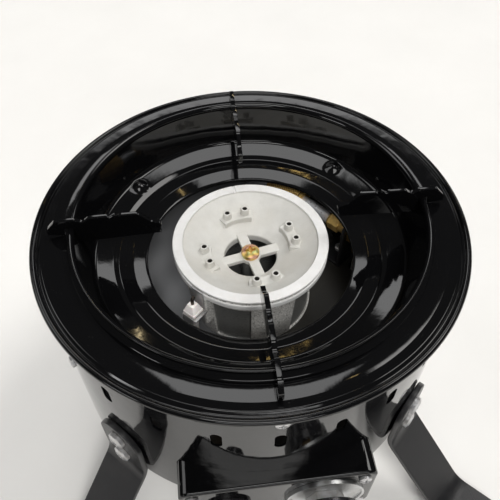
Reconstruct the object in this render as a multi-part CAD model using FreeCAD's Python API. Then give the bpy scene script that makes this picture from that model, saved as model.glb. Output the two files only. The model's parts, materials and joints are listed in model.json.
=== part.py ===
"""Round table-top gas burner stand: enamelled drum on four legs, drip bowl, cast burner and gas train.

Frame: origin on the ground under the burner's axis, +Z up, -Y towards the control knob.
All sizes are in millimetres.
"""
import FreeCAD, Part
import math
import os
from FreeCAD import Vector

# ---------------------------------------------------------------- driving sizes
HEAD_Z = 134.0            # height of the burner head's machined rim above the ground
HEAD_R = 40.0             # burner head's outer radius
SHEET = 1.0               # enamelled sheet
RUN = 0.05                # radial running clearance of a turning or sliding part
TOUCH = 0.02              # gap between two parts that rest on each other

PATTERN_AZ = 12.6         # azimuth of the first burner spider arm and jet pair
ELECTRODE_AZ = -136.0     # azimuth of the spark electrode

# drum and its ring
DRUM_R = 102.0
DRUM_BOTTOM = 48.0
RING_TOP = HEAD_Z + 16.0
RING_IN_R = 86.4
RING_FLAT_R = 100.8
ROLL_R = 1.6
ROLL_AT = 104.4
RING_DROP = 1.1
SKIRT_R = DRUM_R - SHEET - TOUCH
SKIRT_DEPTH = 12.0

# drip bowl
BOWL_HOLE_R = 53.4
FLOOR_BEND_R = 60.5       # the floor turns down here towards its hole
SHELF_IN_R = 70.0
SHELF_IN_Z = -5.0         # the shelf rises outward from here to the foot of the wall
SHELF_OUT_Z = -2.2
BOWL_RIM_Z = 20.3
BOWL_RIM_R = 85.0
CURL_W = 3.5
WALL_FOOT_R = 79.5
DOME_AT_R = 74.6          # the shelf's two pressed domes
DOME_AZ = (43.0, 139.0)

# inner tray
TRAY_Z = HEAD_Z - 46.0
TRAY_SHEET = 0.8
TRAY_R = DRUM_R - SHEET - TRAY_SHEET - RUN

# jet line: a straight horizontal axis beside the burner
JET_AZ = 40.0
JET_OFFSET = 56.0
JET_Z = HEAD_Z - 21.0
JET_TUBE_R = 3.6
SLEEVE_R = 7.6
MIX_R = 6.6
MIX_BORE = 5.4

# controls
PANEL_Y = -108.6
PANEL_HALF_W = 46.0
PANEL_LOW = 50.0
PANEL_HIGH = 90.0
VALVE_X = 22.0
IGNITER_X = -24.0
CONTROL_Z = 69.0
STEM_R = 3.0
PUSH_TRAVEL = 3.5
BUTTON_TRAVEL = 5.0

# legs
LEG_W = 26.0
LEG_T = 3.0
FOOT_R = 168.0
FOOT_PAD_R = 13.0
FOOT_PAD_H = 9.0
LEG_AZ = (45.0, 135.0, 225.0, 315.0)
LEG_NAMES = ("rear_right", "rear_left", "front_left", "front_right")
SUPPORT_NAMES = ("right", "rear", "left", "front")

X_AXIS = Vector(1, 0, 0)
Y_AXIS = Vector(0, 1, 0)
Z_AXIS = Vector(0, 0, 1)
ORIGIN = Vector(0, 0, 0)


# ---------------------------------------------------------------- helpers
def hz(z):
    """Height above the ground of a level given from the burner head's rim."""
    return HEAD_Z + z


def polar(radius, azimuth, z=0.0):
    a = math.radians(azimuth)
    return Vector(radius * math.cos(a), radius * math.sin(a), z)


def turned(shape, azimuth, centre=ORIGIN, axis=Z_AXIS):
    copy = shape.copy()
    copy.rotate(centre, axis, azimuth)
    return copy


def moved(shape, offset):
    copy = shape.copy()
    copy.translate(offset)
    return copy


def fuse_all(shapes):
    body = shapes[0]
    if len(shapes) > 1:
        body = shapes[0].multiFuse(shapes[1:])
    return body.removeSplitter()


def cut_all(body, tools):
    return body.cut(Part.makeCompound(tools)).removeSplitter()


def rod(radius, start, end):
    """Solid cylinder from one point to another."""
    along = end.sub(start)
    return Part.makeCylinder(radius, along.Length, start, along)


def tube(outer, inner, start, end):
    return rod(outer, start, end).cut(rod(inner, start, end))


def disc_ring(outer, inner, z_low, z_high):
    return tube(outer, inner, Vector(0, 0, z_low), Vector(0, 0, z_high))


def box_at(size_x, size_y, size_z, centre):
    corner = centre.sub(Vector(size_x / 2, size_y / 2, size_z / 2))
    return Part.makeBox(size_x, size_y, size_z, corner)


def hex_rod(across_flats, start, end):
    """Hexagonal bar from one point to another."""
    along = end.sub(start)
    radius = across_flats / math.sqrt(3.0)
    corners = [Vector(radius * math.cos(math.radians(60 * i)), radius * math.sin(math.radians(60 * i)), 0)
               for i in range(7)]
    bar = Part.Face(Part.makePolygon(corners)).extrude(Vector(0, 0, along.Length))
    bar.Placement = FreeCAD.Placement(start, FreeCAD.Rotation(Z_AXIS, along))
    return bar


def corner_arc(before, corner, after, radius):
    """Tangent points and middle point of the arc that rounds one corner."""
    into = before.sub(corner).normalize()
    out = after.sub(corner).normalize()
    half = math.acos(max(-1.0, min(1.0, into.dot(out)))) / 2
    reach = radius / math.tan(half)
    start = corner + into * reach
    end = corner + out * reach
    bisector = (into + out).normalize()
    middle = corner + bisector * (radius / math.sin(half) - radius)
    return start, middle, end


def path_edges(points, closed):
    """Line and arc edges through (u, v) or (u, v, corner radius) points of the XZ plane."""
    corners = [Vector(p[0], 0, p[1]) for p in points]
    radii = [p[2] if len(p) > 2 else 0.0 for p in points]
    count = len(points)
    arcs = {}
    for i in range(count):
        inner = closed or 0 < i < count - 1
        if inner and radii[i] > 0:
            arcs[i] = corner_arc(corners[i - 1], corners[i], corners[(i + 1) % count], radii[i])
    edges = []
    spans = count if closed else count - 1
    for i in range(spans):
        j = (i + 1) % count
        start = arcs[i][2] if i in arcs else corners[i]
        end = arcs[j][0] if j in arcs else corners[j]
        if start.distanceToPoint(end) > 1e-6:
            edges.append(Part.makeLine(start, end))
        if j in arcs:
            edges.append(Part.Arc(*arcs[j]).toShape())
    return edges


def closed_face(points):
    return Part.Face(Part.Wire(path_edges(points, True)))


def sheet_face(points, thickness):
    """Section of a bent sheet: the path and its offset to one side."""
    wire = Part.Wire(path_edges(points, False))
    return wire.makeOffset2D(thickness, 0, True, True)


def spun(face, angle=360.0):
    return face.revolve(ORIGIN, Z_AXIS, angle)


def spun_outline(points):
    return spun(closed_face(points))


def plate(points, thickness):
    """Flat plate in the XZ plane, centred on Y."""
    return moved(closed_face(points), Vector(0, -thickness / 2, 0)).extrude(Vector(0, thickness, 0))


def bent_pipe(points, bend, outer, inner=0.0):
    """Pipe along straight runs joined by round bends."""
    edges = []
    start = points[0]
    for i in range(1, len(points) - 1):
        arc_start, arc_mid, arc_end = corner_arc(points[i - 1], points[i], points[i + 1], bend)
        edges.append(Part.makeLine(start, arc_start))
        edges.append(Part.Arc(arc_start, arc_mid, arc_end).toShape())
        start = arc_end
    edges.append(Part.makeLine(start, points[-1]))
    spine = Part.Wire(edges)
    along = points[1].sub(points[0])
    body = swept_circle(spine, outer, points[0], along)
    if inner > 0:
        body = body.cut(swept_circle(spine, inner, points[0], along))
    return body


def swept_circle(spine, radius, start, along):
    ring = Part.Wire(Part.makeCircle(radius, start, along))
    return spine.makePipeShell([ring], True, True)


def smooth_lead(points, radius):
    """Flexible lead along a smooth curve."""
    curve = Part.BSplineCurve()
    curve.interpolate(points)
    spine = Part.Wire(curve.toShape())
    return swept_circle(spine, radius, points[0], curve.tangent(0.0)[0])


def pan_screw(radius, head_r, head_h, length, head_base, direction):
    """Screw with a domed cross-recess head; the shank runs against direction."""
    dome_drop = 0.35 * head_h
    head = spun_outline([(0, 0), (head_r, 0), (head_r, head_h - dome_drop),
                         (head_r * 0.55, head_h, 1.2 * head_h), (0, head_h)])
    shank = Part.makeCylinder(radius, length + 0.1, Vector(0, 0, -length))
    recess_w = 0.28 * head_r
    recess_l = 1.15 * head_r
    recess = [box_at(recess_l, recess_w, head_h, Vector(0, 0, head_h)),
              box_at(recess_w, recess_l, head_h, Vector(0, 0, head_h)),
              Part.makeCone(0.12 * head_r, 0.34 * head_r, 0.62 * head_h, Vector(0, 0, 0.4 * head_h))]
    screw = cut_all(fuse_all([head, shank]), recess)
    screw.Placement = FreeCAD.Placement(head_base, FreeCAD.Rotation(Z_AXIS, direction))
    return screw


def jet_point(along, up=0.0, out=0.0):
    """Point on or near the jet line: along it, above it, and outward from the burner."""
    foot = polar(JET_OFFSET + out, JET_AZ, JET_Z + up)
    return foot + polar(1.0, JET_AZ + 90.0) * along


# ---------------------------------------------------------------- drum, ring, tray, base
def vent_slot(azimuth, z_centre, width, height):
    end = width / 2
    low = rod(end, Vector(80, 0, z_centre - height / 2 + end), Vector(120, 0, z_centre - height / 2 + end))
    high = rod(end, Vector(80, 0, z_centre + height / 2 - end), Vector(120, 0, z_centre + height / 2 - end))
    middle = box_at(40, width, height - width, Vector(100, 0, z_centre))
    return turned(fuse_all([low, high, middle]), azimuth)


def screw_holes(radius, places):
    """Radial hole tools through the drum's wall at (azimuth, height) places."""
    return [turned(rod(radius, Vector(90, 0, height), Vector(110, 0, height)), azimuth)
            for azimuth, height in places]


def ring_screw_places():
    return [(azimuth, hz(7.5)) for azimuth in (0, 90, 180, 270)]


def tray_screw_places():
    return [(azimuth, TRAY_Z + 17) for azimuth in (25, 155, 205, 335)]


def leg_bolt_places():
    return [(azimuth, height) for azimuth in LEG_AZ for height in leg_bolt_heights()]


def leg_bolt_heights():
    return (63.5, 80.0)


def drum():
    wall_top = RING_TOP - RING_DROP - SHEET - TOUCH
    outline = [(DRUM_R - 12, DRUM_BOTTOM), (DRUM_R, DRUM_BOTTOM, 2.5), (DRUM_R, wall_top)]
    wall = spun(sheet_face(outline, SHEET))
    holes = [vent_slot(azimuth, 68, 4, 22) for azimuth in range(-20, 21, 10)]
    holes += [vent_slot(azimuth, 68, 4, 22) for azimuth in range(160, 201, 10)]
    holes += [vent_slot(azimuth, hz(-11), 5, 12) for azimuth in range(15, 360, 15) if azimuth != 90]
    holes += screw_holes(1.7, ring_screw_places() + tray_screw_places())
    holes += screw_holes(2.7, leg_bolt_places())
    holes.append(rod(7.0, Vector(VALVE_X, -120, CONTROL_Z), Vector(VALVE_X, -80, CONTROL_Z)))
    holes.append(rod(9.4, Vector(IGNITER_X, -120, CONTROL_Z), Vector(IGNITER_X, -80, CONTROL_Z)))
    holes.append(rod(7.0, Vector(VALVE_X, 80, CONTROL_Z), Vector(VALVE_X, 120, CONTROL_Z)))
    for x, z in panel_screw_places():
        holes.append(rod(1.7, Vector(x, -120, z), Vector(x, -80, z)))
    for azimuth in base_screw_azimuths():
        spot = polar(DRUM_R - 8, azimuth, 0)
        holes.append(rod(1.7, spot + Vector(0, 0, 40), spot + Vector(0, 0, 56)))
    return cut_all(wall, holes)


def top_ring():
    flat = [(RING_IN_R, RING_TOP - 6), (RING_IN_R, RING_TOP, 1.6), (RING_FLAT_R, RING_TOP, 1.2),
            (RING_FLAT_R + 1.2, RING_TOP - RING_DROP, 1.0), (ROLL_AT - 0.6, RING_TOP - RING_DROP)]
    ring = spun(sheet_face(flat, -SHEET))
    roll = Part.makeTorus(ROLL_AT, ROLL_R, Vector(0, 0, RING_TOP - RING_DROP - 0.3))
    skirt = disc_ring(SKIRT_R, SKIRT_R - SHEET, RING_TOP - SKIRT_DEPTH, RING_TOP - 0.5 * SHEET)
    body = fuse_all([ring, roll, skirt])
    return cut_all(body, screw_holes(1.52, ring_screw_places()))


def shell_screws():
    """The identical short screws of the ring, the tray, the base plate and the jet bracket."""
    low = DRUM_BOTTOM - SHEET - 2 * TOUCH
    spots = [(polar(DRUM_R + TOUCH, azimuth, height), polar(1, azimuth))
             for azimuth, height in ring_screw_places() + tray_screw_places()]
    spots += [(polar(DRUM_R - 8, azimuth, low), Vector(0, 0, -1)) for azimuth in base_screw_azimuths()]
    spots.append((bracket_screw_spot() + Vector(0, 0, 2 + 2 * TOUCH), Z_AXIS))
    return Part.makeCompound([pan_screw(1.5, 3.0, 2.0, 5.0, base, direction) for base, direction in spots])


def inner_tray():
    floor = [(14.0, TRAY_Z), (80.0, TRAY_Z, 26.0), (TRAY_R - 1.5, TRAY_Z + 16.0, 2.0),
             (TRAY_R, TRAY_Z + 22.0)]
    dish = spun(sheet_face(floor, -TRAY_SHEET))
    holes = [rod(MIX_R + 0.6, mix_drop(0), mix_drop(-40)),
             rod(4.2, feed_rise(-30), feed_rise(0)),
             rod(4.0, lead_hole() - Vector(0, 0, 10), lead_hole() + Vector(0, 0, 10)),
             rod(MIX_R + 6.6, spigot_axis(TRAY_Z - 5), spigot_axis(TRAY_Z + 5))]
    for azimuth in body_screw_azimuths():
        spot = polar(BODY_SCREW_R, azimuth, TRAY_Z)
        holes.append(rod(2.2, spot - Vector(0, 0, 5), spot + Vector(0, 0, 5)))
    holes += [rod(2.6, earth_foot(end, -5), earth_foot(end, 5)) for end in (0, 1)]
    holes += screw_holes(1.52, tray_screw_places())
    holes.append(rod(1.52, bracket_screw_spot() - Vector(0, 0, 5), bracket_screw_spot() + Vector(0, 0, 5)))
    disc = Part.makeCylinder(30.0, TRAY_SHEET, Vector(0, 0, TRAY_Z - TRAY_SHEET))
    return cut_all(fuse_all([dish, disc]), holes)


def base_screw_azimuths():
    return (20, 70, 110, 160, 200, 250, 290, 340)


def base_plate():
    low = DRUM_BOTTOM - SHEET - TOUCH
    disc = Part.makeCylinder(DRUM_R - 2.5, SHEET, Vector(0, 0, low))
    holes = []
    for azimuth in base_screw_azimuths():
        spot = polar(DRUM_R - 8, azimuth, 0)
        holes.append(rod(1.7, spot + Vector(0, 0, 40), spot + Vector(0, 0, 56)))
    for row, reach in ((-36, 46), (-24, 54), (-12, 58), (0, 60), (12, 58), (24, 54), (36, 46)):
        for x in (-reach / 2, reach / 2):
            holes.append(box_at(reach - 12, 4, 10, Vector(x, row, low)))
    return cut_all(disc, holes)


# ---------------------------------------------------------------- legs and feet
def leg(azimuth):
    inner = DRUM_R + TOUCH
    foot_low = FOOT_PAD_H + TOUCH
    path = [(inner, 90.0), (inner, 52.0, 14.0), (FOOT_R - 26, foot_low, 16.0),
            (FOOT_R + 10, foot_low)]
    strap = sheet_face(path, LEG_T).extrude(Vector(0, LEG_W, 0))
    strap = moved(strap, Vector(0, -LEG_W / 2, 0))
    upright = moved(Part.makeBox(60, LEG_W + 2, 70, Vector(inner - 5, 0, 40)), Vector(0, -LEG_W / 2 - 1, 0))
    top_round = rod(LEG_W / 2, Vector(inner - 5, 0, 90 - LEG_W / 2), Vector(inner + 10, 0, 90 - LEG_W / 2))
    outside = upright.cut(Part.makeBox(70, LEG_W + 4, 60, Vector(inner - 6, -LEG_W / 2 - 2, 30 - LEG_W / 2)))
    strap = strap.cut(outside.cut(top_round))
    toe = rod(LEG_W / 2, Vector(FOOT_R - 3, 0, -5), Vector(FOOT_R - 3, 0, 30))
    beyond = Part.makeBox(40, LEG_W + 4, 40, Vector(FOOT_R - 3, -LEG_W / 2 - 2, -5))
    strap = strap.cut(beyond.cut(toe))
    holes = [rod(2.7, Vector(inner - 5, 0, height), Vector(inner + 20, 0, height))
             for height in leg_bolt_heights()]
    holes.append(rod(2.2, Vector(FOOT_R - 3, 0, 0), Vector(FOOT_R - 3, 0, 30)))
    return turned(cut_all(strap, holes), azimuth)


def leg_bolts():
    bolts = []
    for azimuth, height in leg_bolt_places():
        base = polar(DRUM_R + LEG_T + 2 * TOUCH, azimuth, height)
        bolts.append(pan_screw(2.5, 4.7, 3.0, 12.0, base, polar(1, azimuth)))
    return Part.makeCompound(bolts)


def leg_nuts():
    nuts = []
    for azimuth, height in leg_bolt_places():
        start = polar(DRUM_R - SHEET - 0.2, azimuth, height)
        end = polar(DRUM_R - SHEET - 4.2, azimuth, height)
        nuts.append(hex_rod(8.0, start, end).cut(rod(2.52, start, end)))
    return Part.makeCompound(nuts)


def foot_pads():
    pad = spun_outline([(0, 0), (FOOT_PAD_R - 1.0, 0), (FOOT_PAD_R, 1.0),
                        (FOOT_PAD_R - 2.0, FOOT_PAD_H, 1.0), (0, FOOT_PAD_H)])
    recess = Part.makeCylinder(5.5, 4.0, Vector(0, 0, -0.01))
    hole = Part.makeCylinder(2.2, 20, Vector(0, 0, -1))
    pad = cut_all(pad, [recess, hole])
    return Part.makeCompound([moved(pad, polar(FOOT_R - 3, azimuth)) for azimuth in LEG_AZ])


def foot_screws():
    screws = []
    for azimuth in LEG_AZ:
        base = polar(FOOT_R - 3, azimuth, 4.0 - TOUCH)
        screws.append(pan_screw(2.0, 4.0, 2.6, 12.0, base, Vector(0, 0, -1)))
    return Part.makeCompound(screws)


# ---------------------------------------------------------------- drip bowl and pan supports
def wall_r(z):
    """Inner radius of the bowl's steep wall at a level given from the head's rim."""
    share = (z - SHELF_OUT_Z) / (BOWL_RIM_Z - SHELF_OUT_Z)
    return WALL_FOOT_R + (BOWL_RIM_R - WALL_FOOT_R) * share


def shelf_band(below, above):
    """Solid ring between two levels measured from the bowl's sloping shelf."""
    slope = (SHELF_OUT_Z - SHELF_IN_Z) / (WALL_FOOT_R - SHELF_IN_R)
    low = hz(SHELF_IN_Z - 2 * slope)
    high = hz(SHELF_OUT_Z + slope)
    return spun_outline([(SHELF_IN_R - 2, low - below), (WALL_FOOT_R + 1, high - below),
                         (WALL_FOOT_R + 1, high + above), (SHELF_IN_R - 2, low + above)])


def drip_bowl():
    section = [(BOWL_HOLE_R, hz(-10.6)), (BOWL_HOLE_R, hz(-9.1), 0.9), (FLOOR_BEND_R, hz(-6.9), 4.0),
               (67.6, hz(-6.3), 2.0), (SHELF_IN_R, hz(SHELF_IN_Z), 1.4), (WALL_FOOT_R, hz(SHELF_OUT_Z), 3.0),
               (BOWL_RIM_R, hz(BOWL_RIM_Z), 1.7), (BOWL_RIM_R + CURL_W, hz(BOWL_RIM_Z), 1.7),
               (BOWL_RIM_R + CURL_W, RING_TOP + TOUCH)]
    bowl = spun(sheet_face(section, -SHEET))
    dome_r = 7.2
    sink = dome_r - 2.0
    tilt = math.atan((SHELF_OUT_Z - SHELF_IN_Z) / (WALL_FOOT_R - SHELF_IN_R))
    shelf_z = SHELF_IN_Z + (DOME_AT_R - SHELF_IN_R) * math.tan(tilt)
    caps = []
    pockets = []
    for azimuth in DOME_AZ:
        centre = polar(DOME_AT_R + sink * math.sin(tilt), azimuth, hz(shelf_z) - sink * math.cos(tilt))
        caps.append(Part.makeSphere(dome_r, centre).common(shelf_band(0.5, 4)))
        pockets.append(Part.makeSphere(dome_r - SHEET, centre).common(shelf_band(3, 4)))
    return cut_all(fuse_all([bowl] + caps), pockets)


def pan_support(azimuth):
    rim_out = BOWL_RIM_R + CURL_W + RUN
    rim_top = hz(BOWL_RIM_Z) + RUN
    wall_gap = RUN
    rest = 26.0
    outline = [(43.0, hz(12.4), 0.8), (43.4, hz(18.4), 1.6), (48.0, hz(20.2), 6.0), (53.6, hz(rest), 3.0),
               (62.4, hz(rest), 2.6), (65.2, hz(22.6), 1.6), (67.6, hz(rest), 2.2), (76.4, hz(rest), 2.6),
               (79.8, hz(23.2), 2.0), (83.4, hz(25.4), 2.2), (92.4, hz(25.4), 3.0), (97.0, hz(20.5), 3.0),
               (97.0, RING_TOP + 2 * TOUCH), (rim_out, RING_TOP + 2 * TOUCH), (rim_out, rim_top),
               (wall_r(BOWL_RIM_Z) - wall_gap, rim_top), (wall_r(10.6) - wall_gap, hz(10.6))]
    return turned(plate(outline, 2.2), azimuth)


# ---------------------------------------------------------------- burner
BODY_FLOOR = -42.0
BODY_BOTTOM = -46.0
BODY_SCREW_R = 21.0
RING_LEVELS = (-3.0, -6.4)
RIM_BOTTOM = -1.2
SPIDER_TOP = -12.3
SPIDER_T = 2.6
SPIDER_END_R = 15.2
HEAD_SCREW_L = 18.0
POST_R = 4.5
DISH_HOLE_R = 13.8
DISH_HOLE_Z = -13.3
DISH_EDGE_R = 34.7
DISH_EDGE_Z = -1.0
DISH_T = 2.6
DISH_LIP = 4.0            # depth of the dish's central hole
NOTCH_AZ = 97.0           # shallow locating notch across the rim
JET_PAIR_R = 23.9
JET_POST_TOP = -2.4
JET_POST_H = 7.1
SPIGOT_Y = 19.0


def body_screw_azimuths():
    return (200, 270, 340)


def spigot_axis(z):
    return Vector(0, SPIGOT_Y, z)


def dish_z(radius):
    """Level of the head's dished face."""
    share = (radius - DISH_HOLE_R) / (DISH_EDGE_R - DISH_HOLE_R)
    return DISH_HOLE_Z + share * (DISH_EDGE_Z - DISH_HOLE_Z)


def jet_posts():
    """Places of the eight hollow posts, in pairs about each spider arm's azimuth."""
    return [polar(JET_PAIR_R, PATTERN_AZ + 90 * quarter + side)
            for quarter in range(4) for side in (-12.0, 12.0)]


def burner_head():
    lip_r = DISH_HOLE_R + 2.2
    outer_r = 33.8
    lip_z = DISH_HOLE_Z - DISH_LIP
    section = [(DISH_HOLE_R, hz(DISH_HOLE_Z), 1.2), (DISH_EDGE_R, hz(DISH_EDGE_Z), 0.5),
               (DISH_EDGE_R, hz(0)), (HEAD_R - 0.3, hz(0)), (HEAD_R, hz(-0.3)), (HEAD_R, hz(RIM_BOTTOM)),
               (36.4, hz(RIM_BOTTOM), 0.8),
               (outer_r, hz(dish_z(outer_r) - DISH_T), 1.5), (lip_r, hz(dish_z(lip_r) - DISH_T)),
               (lip_r, hz(lip_z)), (DISH_HOLE_R, hz(lip_z))]
    body = [spun_outline(section)]
    plinth_top = hz(-6.2)
    plinth_in, plinth_out = 20.3, 27.2
    plinth_span = 43.0
    plinth = spun(closed_face([(plinth_in, hz(-9.8)), (plinth_in, plinth_top, 0.6), (plinth_out, plinth_top),
                               (plinth_out, hz(-7.5))]), plinth_span)
    arm_w = 5.3
    spider_low = hz(SPIDER_TOP - SPIDER_T)
    for quarter in range(4):
        azimuth = PATTERN_AZ + 90 * quarter
        arm = Part.makeBox(SPIDER_END_R, arm_w, SPIDER_T, Vector(0, -arm_w / 2, spider_low))
        body.append(turned(arm, azimuth))
        body.append(turned(plinth, azimuth - plinth_span / 2))
    body += [Part.makeCone(2.8, 2.1, JET_POST_H, spot + Vector(0, 0, hz(JET_POST_TOP - JET_POST_H)))
             for spot in jet_posts()]
    body.append(Part.makeCylinder(5.4, SPIDER_T, Vector(0, 0, spider_low)))
    tools = [rod(2.6, Vector(0, 0, hz(-20)), Vector(0, 0, hz(0)))]
    tools += [Part.makeCylinder(1.25, 20.0, spot + Vector(0, 0, hz(-15.0))) for spot in jet_posts()]
    notch = Part.makeBox(8.0, 1.2, 1.0, Vector(DISH_EDGE_R - 1, -0.6, hz(-0.4)))
    tools.append(turned(notch, NOTCH_AZ))
    return cut_all(fuse_all(body), tools)


def head_screw():
    return pan_screw(2.5, 4.75, 3.3, HEAD_SCREW_L, Vector(0, 0, hz(SPIDER_TOP) + TOUCH), Z_AXIS)


def burner_body():
    high, low = RING_LEVELS
    section = [(36.4, hz(high)), (39.6, hz(high)), (40.0, hz(high - 0.4)), (40.0, hz(low + 0.3)),
               (39.7, hz(low)), (37.6, hz(low - 0.4), 0.8), (36.3, hz(low - 3.0)), (33.4, hz(BODY_BOTTOM)),
               (0, hz(BODY_BOTTOM)), (0, hz(BODY_FLOOR)), (29.4, hz(BODY_FLOOR), 3.0), (32.3, hz(low - 3.0)),
               (35.2, hz(low))]
    shell = spun_outline(section)
    post = Part.makeCylinder(POST_R, SPIDER_TOP - SPIDER_T - BODY_FLOOR + 1 - TOUCH,
                             Vector(0, 0, hz(BODY_FLOOR - 1)))
    spigot = rod(MIX_R + 5.4, spigot_axis(TRAY_Z - 5.4), spigot_axis(hz(BODY_FLOOR)))
    land_h = RIM_BOTTOM - high + 0.2 - TOUCH
    lands = []
    for i in range(30):
        land = Part.makeBox(1.8, 1.6, land_h, Vector(37.0, -0.8, hz(high - 0.2)))
        lands.append(turned(land, 12 * i))
    boss = turned(Part.makeBox(8.0, 8.1, 21.0, Vector(32.0, -3.6, hz(-27.2))), ELECTRODE_AZ)
    body = fuse_all([shell, post, spigot, boss] + lands)
    panel_top, panel_low = hz(-13.0), hz(-44.5)
    panel = closed_face([(34.0, panel_top, 1.5), (44.0, panel_top), (44.0, panel_low),
                         (31.6, panel_low, 1.5)])
    tools = []
    for start, span in ((-129.0, 32.5), (-58.0, 52.0), (33.0, 52.0), (123.0, 52.0)):
        tools.append(turned(spun(panel, span), start))
    tools.append(rod(2.52, Vector(0, 0, hz(SPIDER_TOP - HEAD_SCREW_L - 1)), Vector(0, 0, hz(0))))
    tools.append(rod(MIX_R + RUN, spigot_axis(TRAY_Z - 20), spigot_axis(TRAY_Z + 2.5)))
    tools.append(rod(MIX_BORE, spigot_axis(TRAY_Z - 20), spigot_axis(TRAY_Z + 10)))
    for azimuth in body_screw_azimuths():
        spot = polar(BODY_SCREW_R, azimuth, TRAY_Z)
        tools.append(rod(2.2, spot - Vector(0, 0, 5), spot + Vector(0, 0, 20)))
    tools.append(rod(1.27, polar(35.0, ELECTRODE_AZ, hz(-20)), polar(44.0, ELECTRODE_AZ, hz(-20))))
    return cut_all(body, tools)


def body_screws():
    floor = hz(BODY_FLOOR) + TOUCH
    return Part.makeCompound([pan_screw(2.0, 3.9, 2.6, 11.0, polar(BODY_SCREW_R, azimuth, floor), Z_AXIS)
                              for azimuth in body_screw_azimuths()])


def small_nuts():
    """The identical small nuts above the feet and under the burner's screws."""
    nuts = []
    up = Vector(0, 0, 3.2)
    spots = [polar(FOOT_R - 3, azimuth, FOOT_PAD_H + LEG_T + 3 * TOUCH) for azimuth in LEG_AZ]
    under = Vector(0, 0, TRAY_Z - TRAY_SHEET - TOUCH) - up
    spots += [polar(BODY_SCREW_R, azimuth) + under for azimuth in body_screw_azimuths()]
    for spot in spots:
        nuts.append(hex_rod(7.0, spot, spot + up).cut(rod(2.02, spot, spot + up)))
    return Part.makeCompound(nuts)


# ---------------------------------------------------------------- jet line and mixing tube
SLEEVE_START = 11.0
SLEEVE_END = 33.0
NUT_START = -18.5
NUT_END = -10.5
BRACKET_AT = -24.0
ELBOW_END = -15.0
ELBOW_END_R = 3.9
MIX_LOW_Z = TRAY_Z - 17.0


def mix_top():
    return jet_point(SLEEVE_END + 14.0)


def mix_drop(z):
    """Point on the mixing tube's vertical run, z below the jet line."""
    top = mix_top()
    return Vector(top.x, top.y, JET_Z + z)


def air_window():
    """Upright slot tool across the mixing tube's mouth; it opens the tube above and below."""
    window = box_at(7.0, 6.0, 30.0, ORIGIN)
    across = FreeCAD.Rotation(Z_AXIS, JET_AZ + 90)
    window.Placement = FreeCAD.Placement(jet_point(SLEEVE_START + 13.0), across)
    return window


def mixing_tube():
    start = jet_point(SLEEVE_START + 6.0)
    low = mix_drop(MIX_LOW_Z - JET_Z)
    under = spigot_axis(MIX_LOW_Z)
    end = spigot_axis(TRAY_Z + 2.4)
    body = bent_pipe([start, mix_top(), low, under, end], 11.0, MIX_R, MIX_BORE)
    return cut_all(body, [air_window()])


def air_sleeve():
    """Knurled collar that turns on the mixing tube's mouth and covers its air windows."""
    body = tube(SLEEVE_R, MIX_R + RUN, jet_point(SLEEVE_START), jet_point(SLEEVE_END))
    upper_half = Part.makeBox(400, 400, 60, Vector(-200, -200, JET_Z - 1.0))
    return cut_all(body, [air_window().cut(upper_half)])


def jet_holder():
    """Brass plug in the mixing tube's mouth that carries the jet and the tube."""
    flange = rod(SLEEVE_R - 1.2, jet_point(SLEEVE_START - 1.5), jet_point(SLEEVE_START + 6.0 - TOUCH))
    plug = rod(MIX_BORE - TOUCH, jet_point(SLEEVE_START), jet_point(SLEEVE_START + 9.0))
    body = fuse_all([flange, plug])
    tube_seat = rod(JET_TUBE_R + TOUCH, jet_point(SLEEVE_START - 5), jet_point(SLEEVE_START + 4))
    jet_seat = rod(2.52, jet_point(SLEEVE_START), jet_point(SLEEVE_START + 20))
    return cut_all(body, [tube_seat, jet_seat])


def gas_jet():
    body = rod(2.5, jet_point(SLEEVE_START + 4 + TOUCH), jet_point(SLEEVE_START + 11.5))
    taper = Part.makeCone(2.5, 1.2, 1.5, jet_point(SLEEVE_START + 11.5), polar(1, JET_AZ + 90))
    orifice = rod(0.3, jet_point(SLEEVE_START), jet_point(SLEEVE_START + 20))
    bore = rod(1.3, jet_point(SLEEVE_START), jet_point(SLEEVE_START + 10))
    return cut_all(fuse_all([body, taper]), [orifice, bore])


def jet_tube():
    return tube(JET_TUBE_R, JET_TUBE_R - 1.0, jet_point(ELBOW_END), jet_point(SLEEVE_START + 4 - TOUCH))


def jet_nut():
    start = jet_point(NUT_START)
    end = jet_point(NUT_END)
    nut = hex_rod(9.0, start, end - polar(1.2, JET_AZ + 90))
    cone = Part.makeCone(4.4, 3.9, 1.3, jet_point(NUT_END - 1.3), polar(1, JET_AZ + 90))
    thread = rod(ELBOW_END_R + TOUCH, jet_point(NUT_START - 1), jet_point(ELBOW_END + TOUCH))
    return cut_all(fuse_all([nut, cone]), [rod(JET_TUBE_R + TOUCH, start, end), thread])


def bracket_screw_spot():
    spot = jet_point(BRACKET_AT + 5.5, 0, 3)
    return Vector(spot.x, spot.y, TRAY_Z)


def jet_bracket():
    """Black angle plate on the tray that holds the elbow."""
    outline = [(-8, 0), (8.4, 0), (8.4, 34, 5.0), (-8, 34, 5.0)]
    upright = moved(plate(outline, 2.0), Vector(0, 0, TRAY_Z + TOUCH))
    foot = Part.makeBox(16.4, 13, 2.0, Vector(-8, -1, TRAY_Z + TOUCH))
    body = turned(fuse_all([upright, foot]), JET_AZ)
    base = jet_point(BRACKET_AT - 1.0)
    body = moved(body, Vector(base.x, base.y, 0))
    tools = [rod(4.1, jet_point(BRACKET_AT - 8), jet_point(BRACKET_AT + 8))]
    tools.append(rod(1.7, bracket_screw_spot() - Vector(0, 0, 5), bracket_screw_spot() + Vector(0, 0, 9)))
    return cut_all(body, tools)


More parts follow.
